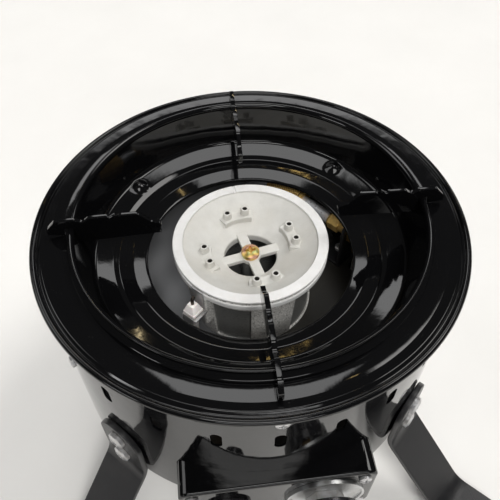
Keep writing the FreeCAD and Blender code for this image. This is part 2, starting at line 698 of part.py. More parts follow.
def jet_elbow():
    """Brass elbow: upright from the feed pipe, level through the bracket to the nut."""
    corner = jet_point(-33.0)
    level = rod(ELBOW_END_R, corner, jet_point(ELBOW_END - TOUCH))
    shoulder = hex_rod(10.0, corner, jet_point(BRACKET_AT - 2 - TOUCH))
    upright = rod(4.6, corner - Vector(0, 0, 11), corner + Vector(0, 0, 5))
    body = fuse_all([level, shoulder, upright])
    tools = [rod(2.0, corner, jet_point(ELBOW_END + 5)),
             rod(2.0, corner - Vector(0, 0, 20), corner),
             rod(3.0 + TOUCH, corner - Vector(0, 0, 20), corner - Vector(0, 0, 6))]
    return cut_all(body, tools)


def feed_rise(z):
    corner = jet_point(-33.0)
    return Vector(corner.x, corner.y, JET_Z - 6 + z)


VALVE_PORT_Y = -80.0


def feed_pipe():
    start = Vector(VALVE_X + 12.0, VALVE_PORT_Y, CONTROL_Z)
    turn = Vector(66.0, VALVE_PORT_Y + 14, CONTROL_Z)
    rise = feed_rise(-TOUCH)
    foot = Vector(rise.x, rise.y, CONTROL_Z)
    return bent_pipe([start, Vector(44, VALVE_PORT_Y, CONTROL_Z), turn, foot, rise], 8.0, 3.0, 2.0)


def earth_foot(end, up=0.0):
    """Where the earth lead passes through the tray: 0 beside the bracket, 1 behind the air sleeve."""
    spot = (jet_point(-9.0, 0, 12.5), jet_point(21.0, 0, 15.2))[end]
    return Vector(spot.x, spot.y, TRAY_Z + up)


def earth_lead():
    """Black sleeved lead beside the jet tube, earthing the burner to the igniter."""
    points = [earth_foot(0, -4.0), earth_foot(0, 4.0),
              jet_point(-10.0, -9.0, 11.0), jet_point(-10.0, -1.0, 8.0),
              jet_point(-6.5, 2.6, 6.6), jet_point(-2.0, 2.0, 6.2), jet_point(3.0, 2.8, 6.6),
              jet_point(8.0, 2.0, 8.6), jet_point(14.0, -1.0, 12.0), jet_point(19.0, -9.0, 14.6),
              earth_foot(1, 4.0), earth_foot(1, -4.0)]
    return smooth_lead(points, 2.1)


# ---------------------------------------------------------------- electrode and ignition
ELECTRODE_R = 44.6
STEM_CERAMIC_R = 1.9
PIN_FOOT = -36.0


def at_electrode(shape):
    return moved(turned(shape, ELECTRODE_AZ), polar(ELECTRODE_R, ELECTRODE_AZ))


def square_at(half, z):
    corners = ((1, 1), (-1, 1), (-1, -1), (1, -1), (1, 1))
    return Part.makePolygon([Vector(x * half, y * half, z) for x, y in corners])


def ceramic_insulator():
    """White insulator: tapered square neck, flange clamped by the bracket, round stem below."""
    neck = Part.makeLoft([square_at(3.4, hz(-12.9)), square_at(1.9, hz(-8.2))], True, True)
    neck = neck.makeFillet(0.5, neck.Edges)
    flange = box_at(7.0, 7.2, 2.0, Vector(0, 0, hz(-13.7)))
    flange = flange.makeFillet(0.4, flange.Edges)
    stem = Part.makeCylinder(STEM_CERAMIC_R, 19.5, Vector(0, 0, hz(-34.0)))
    bore = rod(0.85, Vector(0, 0, hz(-50)), Vector(0, 0, hz(0)))
    return at_electrode(cut_all(fuse_all([neck, flange, stem]), [bore]))


def electrode_pin():
    points = [Vector(0, 0, hz(PIN_FOOT)), Vector(0, 0, hz(-4.6)), Vector(-1.7, 0, hz(-3.9))]
    return at_electrode(bent_pipe(points, 1.5, 0.8))


def electrode_bracket():
    """Steel clip: back plate on the burner's boss, tab under the insulator's flange, lip bent down."""
    back = Part.makeBox(0.8, 7.0, 25.0, Vector(-4.5, -3.5, hz(-26.4)))
    tab = Part.makeBox(8.6, 9.0, 0.8, Vector(-4.5, -3.6, hz(-15.6)))
    lip = Part.makeBox(0.8, 6.0, 7.0, Vector(3.3, -3.6, hz(-21.8)))
    tools = [rod(STEM_CERAMIC_R + RUN, Vector(0, 0, hz(-20)), Vector(0, 0, hz(-10))),
             rod(1.6, Vector(-10, 0, hz(-20)), Vector(0, 0, hz(-20)))]
    return at_electrode(cut_all(fuse_all([back, tab, lip]), tools))


def electrode_screw():
    base = polar(ELECTRODE_R - 3.7 + TOUCH, ELECTRODE_AZ, hz(-20.0))
    return pan_screw(1.25, 2.3, 0.9, 4.5, base, polar(1, ELECTRODE_AZ))


def lead_hole():
    return polar(57.0, ELECTRODE_AZ - 8.0, TRAY_Z)


def lead_grommet():
    low = lead_hole()
    section = [(1.75, -2.6), (5.6, -2.6, 0.6), (5.6, -0.85), (3.9, -0.85), (3.9, TOUCH), (5.6, TOUCH),
               (5.6, 1.8, 0.6), (1.75, 1.8)]
    return moved(spun_outline(section), low)


def ignition_lead():
    """Insulated lead from the electrode's foot, down through the grommet, to the igniter's tail."""
    foot = polar(ELECTRODE_R, ELECTRODE_AZ, hz(PIN_FOOT) - 0.1)
    level = hz(-41.0)
    hole = lead_hole()
    tail = igniter_point(IGNITER_REAR + 0.1)
    points = [foot, Vector(foot.x, foot.y, level), Vector(hole.x, hole.y, level),
              Vector(hole.x, hole.y, CONTROL_Z), tail + Vector(0, 12, 0), tail]
    return bent_pipe(points, 3.2, 1.6)


IGNITER_FRONT = PANEL_Y - TOUCH
IGNITER_REAR = -62.0
BUTTON_R = 5.5
BUTTON_LIP = IGNITER_FRONT + 1.0
BUTTON_REAR = -100.0
CELL_FRONT = -88.0
CELL_REAR = -70.0


def igniter_body():
    axis_low = igniter_point(0)
    flange = rod(11.0, axis_low + Vector(0, IGNITER_FRONT - 2.0, 0), axis_low + Vector(0, IGNITER_FRONT, 0))
    barrel = rod(9.0, axis_low + Vector(0, IGNITER_FRONT - 1.0, 0), axis_low + Vector(0, -84.0, 0))
    tail = rod(7.0, axis_low + Vector(0, -85.0, 0), axis_low + Vector(0, IGNITER_REAR, 0))
    mouth = rod(BUTTON_R + RUN, axis_low + Vector(0, IGNITER_FRONT - 5.0, 0),
                axis_low + Vector(0, BUTTON_LIP + 1, 0))
    cavity = rod(6.0 + RUN, axis_low + Vector(0, BUTTON_LIP, 0), axis_low + Vector(0, CELL_FRONT, 0))
    cell = rod(4.0 + TOUCH, axis_low + Vector(0, CELL_FRONT - 2, 0), axis_low + Vector(0, CELL_REAR, 0))
    outlet = rod(1.2, axis_low + Vector(0, CELL_REAR - 5, 0), axis_low + Vector(0, -50.0, 0))
    return cut_all(fuse_all([flange, barrel, tail]), [mouth, cavity, cell, outlet])


def igniter_nut():
    start = igniter_point(PANEL_Y + SHEET + 0.25)
    end = start + Vector(0, 3.4, 0)
    return hex_rod(24.0, start, end).cut(rod(9.02, start, end))


def igniter_button():
    """Push button: narrow cap through the body's lip, wider skirt behind it, hammer at the rear."""
    axis_low = igniter_point(0)
    face = IGNITER_FRONT - 8.5
    cap = rod(BUTTON_R, axis_low + Vector(0, face, 0), axis_low + Vector(0, BUTTON_REAR, 0))
    front = [edge for edge in cap.Edges if abs(edge.CenterOfMass.y - face) < 0.01]
    cap = cap.makeFillet(1.2, front)
    skirt = rod(6.0, axis_low + Vector(0, BUTTON_LIP + TOUCH, 0), axis_low + Vector(0, BUTTON_REAR, 0))
    strike = CELL_FRONT - BUTTON_TRAVEL - 0.5
    hammer = rod(3.0, axis_low + Vector(0, BUTTON_REAR - 1, 0), axis_low + Vector(0, strike, 0))
    return fuse_all([cap, skirt, hammer])


def spring(radius, wire, start, length, turns):
    """Round-wire compression spring along +Y."""
    helix = Part.makeHelix(length / turns, length, radius)
    ring = Part.Wire(Part.makeCircle(wire, Vector(radius, 0, 0), Y_AXIS))
    coil = Part.Wire(helix).makePipeShell([ring], True, True)
    coil.Placement = FreeCAD.Placement(start, FreeCAD.Rotation(X_AXIS, -90))
    return coil


def igniter_point(y):
    return Vector(IGNITER_X, y, CONTROL_Z)


def igniter_spring():
    return spring(4.7, 0.45, igniter_point(BUTTON_REAR + 0.6), CELL_FRONT - BUTTON_REAR - 1.2, 5)


def piezo_cell():
    return rod(4.0, igniter_point(CELL_FRONT), igniter_point(CELL_REAR - TOUCH))


# ---------------------------------------------------------------- valve, knob and inlet
def valve_point(y):
    return Vector(VALVE_X, y, CONTROL_Z)


VALVE_FRONT = -95.2
PLUG_FRONT = -90.0
PLUG_REAR = -72.0
COLLAR_FRONT = -104.5
COLLAR_REAR = -101.0
COLLAR_R = 4.6
STEM_FLANGE = 1.0
STEM_END = PANEL_Y - 18.0
SLOT_END = -84.6


def valve_body():
    barrel = rod(10.0, valve_point(VALVE_FRONT), valve_point(-66.0))
    neck = rod(6.0, valve_point(PANEL_Y - 5.0), valve_point(VALVE_FRONT + 1))
    tail = hex_rod(12.0, valve_point(-66.5), valve_point(-60.0))
    port_axis = valve_point(VALVE_PORT_Y)
    port = rod(5.5, port_axis, port_axis + X_AXIS * 16.0)
    body = fuse_all([barrel, neck, tail, port])
    seat = Part.makeCone(6.0 + RUN, 4.6 + RUN, PLUG_REAR - PLUG_FRONT, valve_point(PLUG_FRONT), Y_AXIS)
    chamber = rod(6.0 + RUN, valve_point(VALVE_FRONT + 0.5), valve_point(PLUG_FRONT + 0.01))
    lip_end = COLLAR_FRONT - STEM_FLANGE - 3 * TOUCH
    lip_bore = rod(STEM_R + RUN, valve_point(PANEL_Y - 10), valve_point(lip_end))
    collar_bore = rod(COLLAR_R + RUN, valve_point(lip_end), valve_point(VALVE_FRONT + 1))
    inlet = rod(2.0, valve_point(PLUG_REAR - 0.5), valve_point(-50))
    pipe_seat = rod(3.0 + TOUCH, valve_point(-64.0), valve_point(-50))
    outlet = rod(2.0, port_axis, port_axis + X_AXIS * 20)
    feed_seat = rod(3.0 + TOUCH, port_axis + X_AXIS * (12 - TOUCH), port_axis + X_AXIS * 20)
    return cut_all(body, [seat, chamber, lip_bore, collar_bore, inlet, pipe_seat, outlet, feed_seat])


def valve_plug():
    """Tapered plug with a cross port; its front slot takes the stem's blade."""
    plug = Part.makeCone(6.0, 4.6, PLUG_REAR - PLUG_FRONT, valve_point(PLUG_FRONT), Y_AXIS)
    plug = plug.common(rod(8, valve_point(PLUG_FRONT), valve_point(PLUG_REAR - 0.6)))
    slot = box_at(7.4, 2 * (SLOT_END - PLUG_FRONT), 2.4, valve_point(PLUG_FRONT))
    along = rod(1.6, valve_point(VALVE_PORT_Y), valve_point(-60))
    across = rod(1.6, valve_point(VALVE_PORT_Y), Vector(VALVE_X + 10, VALVE_PORT_Y, CONTROL_Z))
    return cut_all(plug, [slot, turned(across, 90, valve_point(0), Y_AXIS), along])


def stem_flat_centre():
    return valve_point(STEM_END + 4.0) + Vector(0, 0, 3.0)


def valve_stem():
    """Stem with a knob flat at the front, a flange that the collar pushes on and a blade at the rear."""
    shaft = rod(STEM_R, valve_point(STEM_END), valve_point(PLUG_FRONT - 3.6))
    flange_rear = COLLAR_FRONT - TOUCH
    flange = rod(COLLAR_R - 0.6, valve_point(flange_rear - STEM_FLANGE), valve_point(flange_rear))
    blade = box_at(7.0, 6.0, 2.0, valve_point(PLUG_FRONT - 1.6))
    blade = blade.common(rod(3.5, valve_point(PLUG_FRONT - 8), valve_point(PLUG_FRONT + 8)))
    flat = box_at(8.0, 12.0, 2.0, stem_flat_centre())
    return fuse_all([shaft, flange, blade]).cut(flat)


def push_collar():
    """Collar that slides with the stem but doesn't turn; the spring pushes on it."""
    return tube(COLLAR_R, STEM_R + RUN, valve_point(COLLAR_FRONT), valve_point(COLLAR_REAR))


def valve_spring():
    return spring(3.95, 0.3, valve_point(COLLAR_REAR + 0.6), PLUG_FRONT - COLLAR_REAR - 1.1, 5)


def valve_nut():
    start = valve_point(PANEL_Y - 1.2 - 2 * TOUCH)
    end = valve_point(PANEL_Y - 4.4)
    return hex_rod(16.0, start, end).cut(rod(6.02, start, end))


def dial_ring():
    """Bezel plate behind the knob, with raised marks for off, high and low."""
    start = valve_point(PANEL_Y - TOUCH)
    disc = rod(19.0, start, valve_point(PANEL_Y - 1.2))
    lip = tube(19.0, 17.8, valve_point(PANEL_Y - 2.0), valve_point(PANEL_Y - 1.0))
    marks = []
    for angle, size in ((0, 1.1), (-45, 0.5), (-90, 0.9), (-135, 0.5), (-180, 0.7)):
        mark = rod(size, valve_point(PANEL_Y - 1.5), valve_point(PANEL_Y - 1.0))
        mark = moved(mark, Vector(0, 0, 16.3))
        marks.append(turned(mark, angle, valve_point(0), Y_AXIS))
    hole = rod(6.2, valve_point(-120), valve_point(-100))
    return cut_all(fuse_all([disc, lip] + marks), [hole])


KNOB_REAR = PANEL_Y - 2.0 - PUSH_TRAVEL - 0.8
POINTER_UP = 8.2


def control_knob():
    """Fluted knob with a grip bar across its face."""
    rear = KNOB_REAR
    skirt = rod(14.6, valve_point(rear), valve_point(rear - 4.0))
    barrel = Part.makeCone(13.0, 12.2, 8.0, valve_point(rear - 3.5), Vector(0, -1, 0))
    flutes = []
    for i in range(18):
        flute = moved(rod(1.3, valve_point(rear - 4.2), valve_point(rear - 14)), Vector(0, 0, 13.6))
        flutes.append(turned(flute, 20 * i + 10, valve_point(0), Y_AXIS))
    grip = box_at(6.0, 3.4, 21.0, valve_point(rear - 12.6))
    grip = grip.makeFillet(1.2, [e for e in grip.Edges if abs(e.CenterOfMass.y - (rear - 14.3)) < 0.01])
    body = fuse_all([skirt, barrel.cut(Part.makeCompound(flutes)), grip])
    hollow = tube(11.5, 5.2, valve_point(rear + 1), valve_point(rear - 7))
    mouth = rod(11.5, valve_point(rear + 1), valve_point(rear - 2.8))
    bore = rod(STEM_R + TOUCH, valve_point(rear + 1), valve_point(STEM_END - TOUCH))
    key = box_at(8.0, 12.0 - 2 * TOUCH, 2.0 - 2 * TOUCH, stem_flat_centre())
    notch = moved(rod(1.0, valve_point(rear - 13.2), valve_point(rear - 16)), Vector(0, 0, POINTER_UP))
    return cut_all(body, [hollow, mouth, bore.cut(key), notch])


def knob_pointer():
    """Pale inlay in the grip that shows the setting."""
    inlay = rod(0.98, valve_point(KNOB_REAR - 13.2 - TOUCH), valve_point(KNOB_REAR - 14.4))
    return moved(inlay, Vector(0, 0, POINTER_UP))


def inlet_pipe():
    return tube(3.0, 2.0, valve_point(-64.0 + TOUCH), valve_point(92.0))


def pipe_nuts():
    """Compression nuts where the pipes enter the valve and the inlet."""
    rear = hex_rod(10.0, valve_point(-60.0 + TOUCH), valve_point(-54.0)).cut(
        rod(3.0 + TOUCH, valve_point(-61), valve_point(-50)))
    side_start = Vector(VALVE_X + 16 + TOUCH, VALVE_PORT_Y, CONTROL_Z)
    side_end = side_start + Vector(4.0, 0, 0)
    side = hex_rod(10.0, side_start, side_end).cut(rod(3.0 + TOUCH, side_start, side_end))
    inlet = hex_rod(10.0, valve_point(88.0 - TOUCH), valve_point(82.0)).cut(
        rod(3.0 + TOUCH, valve_point(80), valve_point(90)))
    return Part.makeCompound([rear, side, inlet])


INLET_END = 127.0
INLET_THREAD_R = 6.58


def inlet_fitting():
    """Gas inlet: collar inside, neck through the drum, hexagon and outer thread outside."""
    inner = rod(6.0, valve_point(88.0), valve_point(96.0))
    neck = rod(6.5, valve_point(95.0), valve_point(107.5))
    hexagon = hex_rod(17.0, valve_point(107.0), valve_point(114.0))
    thread = rod(INLET_THREAD_R, valve_point(113.5), valve_point(INLET_END))
    chamfer = rod(20, valve_point(INLET_END - 1), valve_point(INLET_END + 1)).cut(
        Part.makeCone(INLET_THREAD_R, INLET_THREAD_R - 1, 1.0, valve_point(INLET_END - 1), Y_AXIS))
    bore = rod(2.0, valve_point(80), valve_point(140))
    seat = rod(3.0 + TOUCH, valve_point(80), valve_point(92 + TOUCH))
    cone = Part.makeCone(2.0, 4.6, 3.0, valve_point(INLET_END - 3.0 + 0.01), Y_AXIS)
    return cut_all(fuse_all([inner, neck, hexagon, thread]), [chamfer, bore, seat, cone])


def inlet_nut():
    start = valve_point(94.6)
    end = valve_point(90.8)
    return hex_rod(18.0, start, end).cut(rod(6.52, start, end))


def inlet_plate():
    """Flat saddle plate that spreads the inlet's load on the drum."""
    body = box_at(34.0, 9.0, 26.0, Vector(VALVE_X, 102.2, CONTROL_Z))
    body = body.makeFillet(4.0, [e for e in body.Edges if abs(e.tangentAt(e.FirstParameter).y) > 0.99])
    inside = Part.makeCylinder(DRUM_R + 2 * TOUCH, 80, Vector(0, 0, 40))
    hollow = box_at(31.0, 9.0, 23.0, Vector(VALVE_X, 100.4, CONTROL_Z))
    hole = rod(6.6, valve_point(80), valve_point(120))
    return cut_all(body, [inside, hollow, hole])


# ---------------------------------------------------------------- control panel
def panel_screw_places():
    return [(x, z) for x in (-PANEL_HALF_W + 6, PANEL_HALF_W - 6) for z in (PANEL_LOW + 6, PANEL_HIGH - 6)]


def control_panel():
    depth = 40.0
    middle = (PANEL_LOW + PANEL_HIGH) / 2
    block = box_at(2 * PANEL_HALF_W, depth, PANEL_HIGH - PANEL_LOW, Vector(0, PANEL_Y + depth / 2, middle))
    across = [e for e in block.Edges if abs(e.tangentAt(e.FirstParameter).y) > 0.99]
    block = block.makeFillet(5.0, across)
    front = [e for e in block.Edges if abs(e.CenterOfMass.y - PANEL_Y) < 0.01]
    block = block.makeFillet(1.5, front)
    hollow = box_at(2 * PANEL_HALF_W - 2.4, depth, PANEL_HIGH - PANEL_LOW - 2.4,
                    Vector(0, PANEL_Y + depth / 2 + 1.2, middle))
    drum_space = Part.makeCylinder(DRUM_R + TOUCH, 80, Vector(0, 0, 40))
    tools = [hollow, drum_space, rod(6.2, valve_point(-130), valve_point(-90)),
             rod(9.2, Vector(IGNITER_X, -130, CONTROL_Z), Vector(IGNITER_X, -90, CONTROL_Z))]
    for x, z in panel_screw_places():
        tools.append(rod(1.7, Vector(x, -130, z), Vector(x, -80, z)))
    return cut_all(block, tools)


def panel_screws():
    return Part.makeCompound([pan_screw(1.5, 3.0, 1.8, 21.0, Vector(x, PANEL_Y - TOUCH, z), Vector(0, -1, 0))
                              for x, z in panel_screw_places()])


# ---------------------------------------------------------------- write every node
def nodes():
    builders = (
        drum, top_ring, inner_tray, base_plate, shell_screws, leg_bolts, leg_nuts, foot_pads, foot_screws,
        small_nuts, drip_bowl, burner_head, head_screw, burner_body, body_screws, mixing_tube, air_sleeve,
        jet_holder, gas_jet, jet_tube, jet_nut, jet_bracket, jet_elbow, feed_pipe, earth_lead,
        ceramic_insulator, electrode_pin, electrode_bracket, electrode_screw, lead_grommet, ignition_lead,
        igniter_body, igniter_nut, igniter_button, igniter_spring, piezo_cell, valve_body, valve_plug,
        valve_stem, push_collar, valve_spring, valve_nut, dial_ring, control_knob, knob_pointer, inlet_pipe,
        pipe_nuts, inlet_fitting, inlet_nut, inlet_plate, control_panel, panel_screws,
    )
    made = {build.__name__: build() for build in builders}
    for name, azimuth in zip(LEG_NAMES, LEG_AZ):
        made["leg_" + name] = leg(azimuth)
    for name, azimuth in zip(SUPPORT_NAMES, (0, 90, 180, 270)):
        made["pan_support_" + name] = pan_support(azimuth)
    return made


def main():
    os.makedirs("parts", exist_ok=True)
    for name, shape in nodes().items():
        shape.exportStep("parts/" + name + ".step")


main()
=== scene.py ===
"""Looks of the round table-top gas burner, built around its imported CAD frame.

Everything is in metres in the CAD frame: its origin is on the ground under the burner's axis, +Z is up
and the knob is on the -Y side.
"""
import json
import math

import bmesh
import bpy
from mathutils import Matrix, Vector, noise


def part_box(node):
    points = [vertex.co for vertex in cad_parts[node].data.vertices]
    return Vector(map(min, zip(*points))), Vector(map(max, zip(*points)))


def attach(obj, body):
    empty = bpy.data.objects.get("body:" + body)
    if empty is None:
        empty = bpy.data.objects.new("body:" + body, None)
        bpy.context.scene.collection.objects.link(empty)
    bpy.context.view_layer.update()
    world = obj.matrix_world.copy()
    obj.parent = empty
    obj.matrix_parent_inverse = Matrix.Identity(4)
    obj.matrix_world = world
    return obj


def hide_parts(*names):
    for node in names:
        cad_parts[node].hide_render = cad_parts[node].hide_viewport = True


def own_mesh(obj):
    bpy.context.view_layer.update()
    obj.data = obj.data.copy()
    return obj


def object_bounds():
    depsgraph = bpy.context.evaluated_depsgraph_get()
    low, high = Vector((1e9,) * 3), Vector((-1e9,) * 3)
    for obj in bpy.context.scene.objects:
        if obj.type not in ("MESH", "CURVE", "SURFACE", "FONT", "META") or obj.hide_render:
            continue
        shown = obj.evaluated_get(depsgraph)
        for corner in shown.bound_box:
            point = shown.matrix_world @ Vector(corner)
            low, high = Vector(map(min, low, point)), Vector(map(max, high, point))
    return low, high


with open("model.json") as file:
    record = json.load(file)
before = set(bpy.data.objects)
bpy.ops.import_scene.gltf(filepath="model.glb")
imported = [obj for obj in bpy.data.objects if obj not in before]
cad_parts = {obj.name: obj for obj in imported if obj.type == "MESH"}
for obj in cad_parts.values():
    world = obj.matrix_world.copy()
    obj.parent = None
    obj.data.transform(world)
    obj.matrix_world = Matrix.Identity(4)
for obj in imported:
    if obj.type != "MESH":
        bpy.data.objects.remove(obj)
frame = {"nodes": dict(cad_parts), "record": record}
cad_low, cad_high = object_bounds()

# ---------------------------------------------------------------- sizes, from the frame where it has them
MM = 0.001
HEAD_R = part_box("burner_head")[1].x
RIM_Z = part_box("burner_head")[1].z                   # the machined rim's plane
RING_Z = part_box("top_ring")[1].z - 0.2 * MM          # the ring's flat; its rolled edge stands a little above
BOWL_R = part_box("drip_bowl")[1].x
BOWL_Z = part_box("drip_bowl")[1].z
SHEET = 1.0 * MM
PLATE_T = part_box("pan_support_front")[1].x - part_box("pan_support_front")[0].x
JET_AZ = 40.0                                        # the jet line lies square to this azimuth
JET_OFFSET = 56.0 * MM
JET_Z = RIM_Z - 21.0 * MM
SLEEVE_R = 7.6 * MM                                  # over the crests of the knurling
SLEEVE_BORE_R = 6.65 * MM
SLEEVE_START, SLEEVE_LENGTH = 11.0 * MM, 22.0 * MM   # along the jet line
KNURL_DEPTH = 0.42 * MM
KNURL_STARTS = 28                                    # grooves of each hand around the sleeve
DOME_AZIMUTHS = (43, 139)                            # pressed domes in the bowl's shelf
DOME_CIRCLE_R, DOME_R, DOME_RISE = 74.6 * MM, 5.2 * MM, 2.0 * MM
VIEW_AZ = -7.0                                       # degrees the camera stands round from straight in front
VIEW_ELEVATION, VIEW_DISTANCE = 49.1, 0.300

# ---------------------------------------------------------------- small geometry helpers


def polar(radius, azimuth, z=0.0):
    """Point at a radius from the Z axis and an azimuth in degrees from +X."""
    a = math.radians(azimuth)
    return Vector((radius * math.cos(a), radius * math.sin(a), z))


def direction(azimuth, elevation):
    """Unit vector towards a point of the sky: azimuth 0 is to the camera's right and 90 straight ahead."""
    return polar(math.cos(math.radians(elevation)), azimuth + VIEW_AZ, math.sin(math.radians(elevation)))


def rounded(points, closed=False, step=0.25 * MM):
    """Polyline through (u, v) or (u, v, corner radius) points, its corners turned into arcs."""
    count = len(points)
    path = []
    for i, point in enumerate(points):
        corner = Vector(point[:2])
        radius = point[2] if len(point) > 2 else 0.0
        if radius == 0 or (not closed and i in (0, count - 1)):
            path.append(corner)
            continue
        before = (Vector(points[i - 1][:2]) - corner).normalized()
        after = (Vector(points[(i + 1) % count][:2]) - corner).normalized()
        half = before.angle(after) / 2
        centre = corner + (before + after).normalized() * (radius / math.sin(half))
        start = corner + before * (radius / math.tan(half)) - centre
        sweep = math.pi - 2 * half
        if start.x * after.y - start.y * after.x < 0:
            sweep = -sweep
        parts = max(2, math.ceil(abs(sweep) * radius / step))
        for k in range(parts + 1):
            turn = Matrix.Rotation(sweep * k / parts, 2)
            path.append(centre + turn @ start)
    return path


def divided(path, step):
    """The same polyline with its long stretches cut into pieces no longer than step."""
    fine = [path[0]]
    for point in path[1:]:
        parts = max(1, math.ceil((point - fine[-1]).length / step))
        start = fine[-1]
        fine += [start.lerp(point, k / parts) for k in range(1, parts + 1)]
    return fine


def sheet_section(path, thickness, cap_parts=4):
    """Closed section of a sheet: the path, its offset to the right, and a half-round at each end."""
    normals = []
    for i in range(len(path)):
        along = (path[min(i + 1, len(path) - 1)] - path[max(i - 1, 0)]).normalized()
        normals.append(Vector((along.y, -along.x)))
    far = [p + n * thickness for p, n in zip(path, normals)]
    section = list(path)
    section += half_round(path[-1], far[-1], cap_parts)
    section += reversed(far)
    section += half_round(far[0], path[0], cap_parts)
    return section


def half_round(start, end, parts):
    """Points between two, bulging to the left of the line by a quarter of its length."""
    middle = (start + end) / 2
    reach = (start - end) / 2
    side = Vector((-reach.y, reach.x)) * 0.5
    return [middle + reach * math.cos(math.pi * k / parts) - side * math.sin(math.pi * k / parts)
            for k in range(1, parts)]


def smooth_shaded(mesh):
    """Shades every face smoothly into its neighbours."""
    for polygon in mesh.polygons:
        polygon.use_smooth = True


def new_object(name, mesh, body, node):
    """Links a finished mesh as a piece that rides on a body and stands for a CAD node."""
    smooth_shaded(mesh)
    piece = bpy.data.objects.new(name, mesh)
    bpy.context.scene.collection.objects.link(piece)
    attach(piece, body)
    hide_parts(node)
    return piece


def closed_grid(name, rows):
    """Mesh through rows of points, each row and each column joined end to end."""
    count = len(rows[0])
    faces = []
    for k in range(len(rows)):
        m = (k + 1) % len(rows)
        for i in range(count):
            j = (i + 1) % count
            faces.append((k * count + i, k * count + j, m * count + j, m * count + i))
    mesh = bpy.data.meshes.new(name)
    mesh.from_pydata([point for row in rows for point in row], [], faces)
    turn_outward(mesh)
    return mesh


def revolved(name, section, segments=360):
    """Mesh made by turning a closed (radius, z) section about the Z axis."""
    azimuths = [360.0 * i / segments for i in range(segments)]
    return closed_grid(name, [[polar(p.x, azimuth, p.y) for p in section] for azimuth in azimuths])


def turn_outward(mesh):
    """Makes every face of a closed mesh point out of it."""
    bm = bmesh.new()
    bm.from_mesh(mesh)
    bmesh.ops.recalc_face_normals(bm, faces=bm.faces)
    bm.to_mesh(mesh)
    bm.free()


# ---------------------------------------------------------------- shader helpers


class Shader:
    """Short way to add and join the nodes of one material."""

    def __init__(self, name):
        self.material = bpy.data.materials.new(name)
        self.material.use_nodes = True
        self.tree = self.material.node_tree
        self.tree.nodes.clear()
        self.place = self.add("TexCoord").outputs["Object"]

    def add(self, kind, inputs=None, **settings):
        node = self.tree.nodes.new("ShaderNode" + kind)
        for key, value in settings.items():
            setattr(node, key, value)
        for key, value in (inputs or {}).items():
            if isinstance(value, bpy.types.NodeSocket):
                self.tree.links.new(value, node.inputs[key])
            else:
                node.inputs[key].default_value = value
        return node

    def noise(self, scale, detail=2.0, rough=0.5):
        """Noise with about scale features per metre."""
        inputs = {"Vector": self.place, "Scale": scale, "Detail": detail, "Roughness": rough}
        return self.add("TexNoise", inputs).outputs["Fac"]

    def math(self, operation, a, b=0.0, c=0.0):
        return self.add("Math", {0: a, 1: b, 2: c}, operation=operation).outputs[0]

    def length(self, a, b):
        """Length of the vector (a, b)."""
        return self.math("SQRT", self.math("ADD", self.math("MULTIPLY", a, a), self.math("MULTIPLY", b, b)))

    def axes(self, place=None):
        """X, Y and Z of a place, the shaded point's own by default."""
        return self.add("SeparateXYZ", {"Vector": place or self.place}).outputs

    def span(self, value, low, high, to_low=0.0, to_high=1.0):
        """Value from low..high, clamped and mapped to to_low..to_high."""
        inputs = {"Value": value, "From Min": low, "From Max": high, "To Min": to_low, "To Max": to_high}
        return self.add("MapRange", inputs).outputs["Result"]

    def mix(self, share, a, b):
        """Colour a turning into colour b as share goes from 0 to 1."""
        node = self.add("Mix", data_type="RGBA")
        for index, value in ((0, share), (6, a), (7, b)):
            if isinstance(value, bpy.types.NodeSocket):
                self.tree.links.new(value, node.inputs[index])
            elif index == 0:
                node.inputs[index].default_value = value
            else:
                node.inputs[index].default_value = (*value, 1.0)
        return node.outputs[2]

    def bump(self, height, distance, strength=1.0, normal=None):
        inputs = {"Height": height, "Distance": distance, "Strength": strength}
        if normal:
            inputs["Normal"] = normal
        return self.add("Bump", inputs).outputs["Normal"]

    def soft_edges(self, radius):
        return self.add("Bevel", {"Radius": radius}, samples=4).outputs["Normal"]

    def finish(self, color, roughness, normal=None, metallic=0.0, **more):
        inputs = {"Roughness": roughness, "Metallic": metallic}
        inputs["Base Color"] = color if isinstance(color, bpy.types.NodeSocket) else (*color, 1.0)
        if normal:
            inputs["Normal"] = normal
        for key, value in more.items():
            inputs[key.replace("_", " ").title().replace("Ior", "IOR")] = value
        shell = self.add("BsdfPrincipled", inputs)
        out = self.add("OutputMaterial")
        self.tree.links.new(shell.outputs[0], out.inputs["Surface"])
        return self.material


# ---------------------------------------------------------------- materials


def black_enamel():
    """Fired black enamel: mirror gloss with a slow ripple, faint smudges and a little dust."""
    s = Shader("black_enamel")
    ripple = s.noise(75, 1.5)
    peel = s.noise(420, 2)
    height = s.math("MULTIPLY_ADD", peel, 0.08, ripple)
    normal = s.bump(height, 0.00008)
    smudge = s.noise(55, 5, 0.65)
    dust = s.span(s.noise(2600, 1), 0.745, 0.79)
    grime = s.math("MULTIPLY", dust, s.span(s.noise(90, 3), 0.45, 0.65))
    color = s.mix(s.math("MULTIPLY", grime, 0.4), (0.0022, 0.0022, 0.0025), (0.12, 0.115, 0.11))
    rough = s.math("MULTIPLY_ADD", grime, 0.35, s.span(smudge, 0.35, 0.75, 0.030, 0.075))
    return s.finish(color, rough, normal, ior=1.56)


def powder_coat():
    """Satin black paint with a fine orange-peel texture, rubbed paler in patches."""
    s = Shader("powder_coat")
    grain = s.noise(1500, 3)
    normal = s.bump(grain, 0.00006, normal=s.soft_edges(0.0006))
    worn = s.span(s.noise(60, 5, 0.7), 0.5, 0.8)
    color = s.mix(worn, (0.011, 0.011, 0.012), (0.022, 0.021, 0.021))
    return s.finish(color, s.span(worn, 0, 1, 0.34, 0.48), normal, ior=1.5)


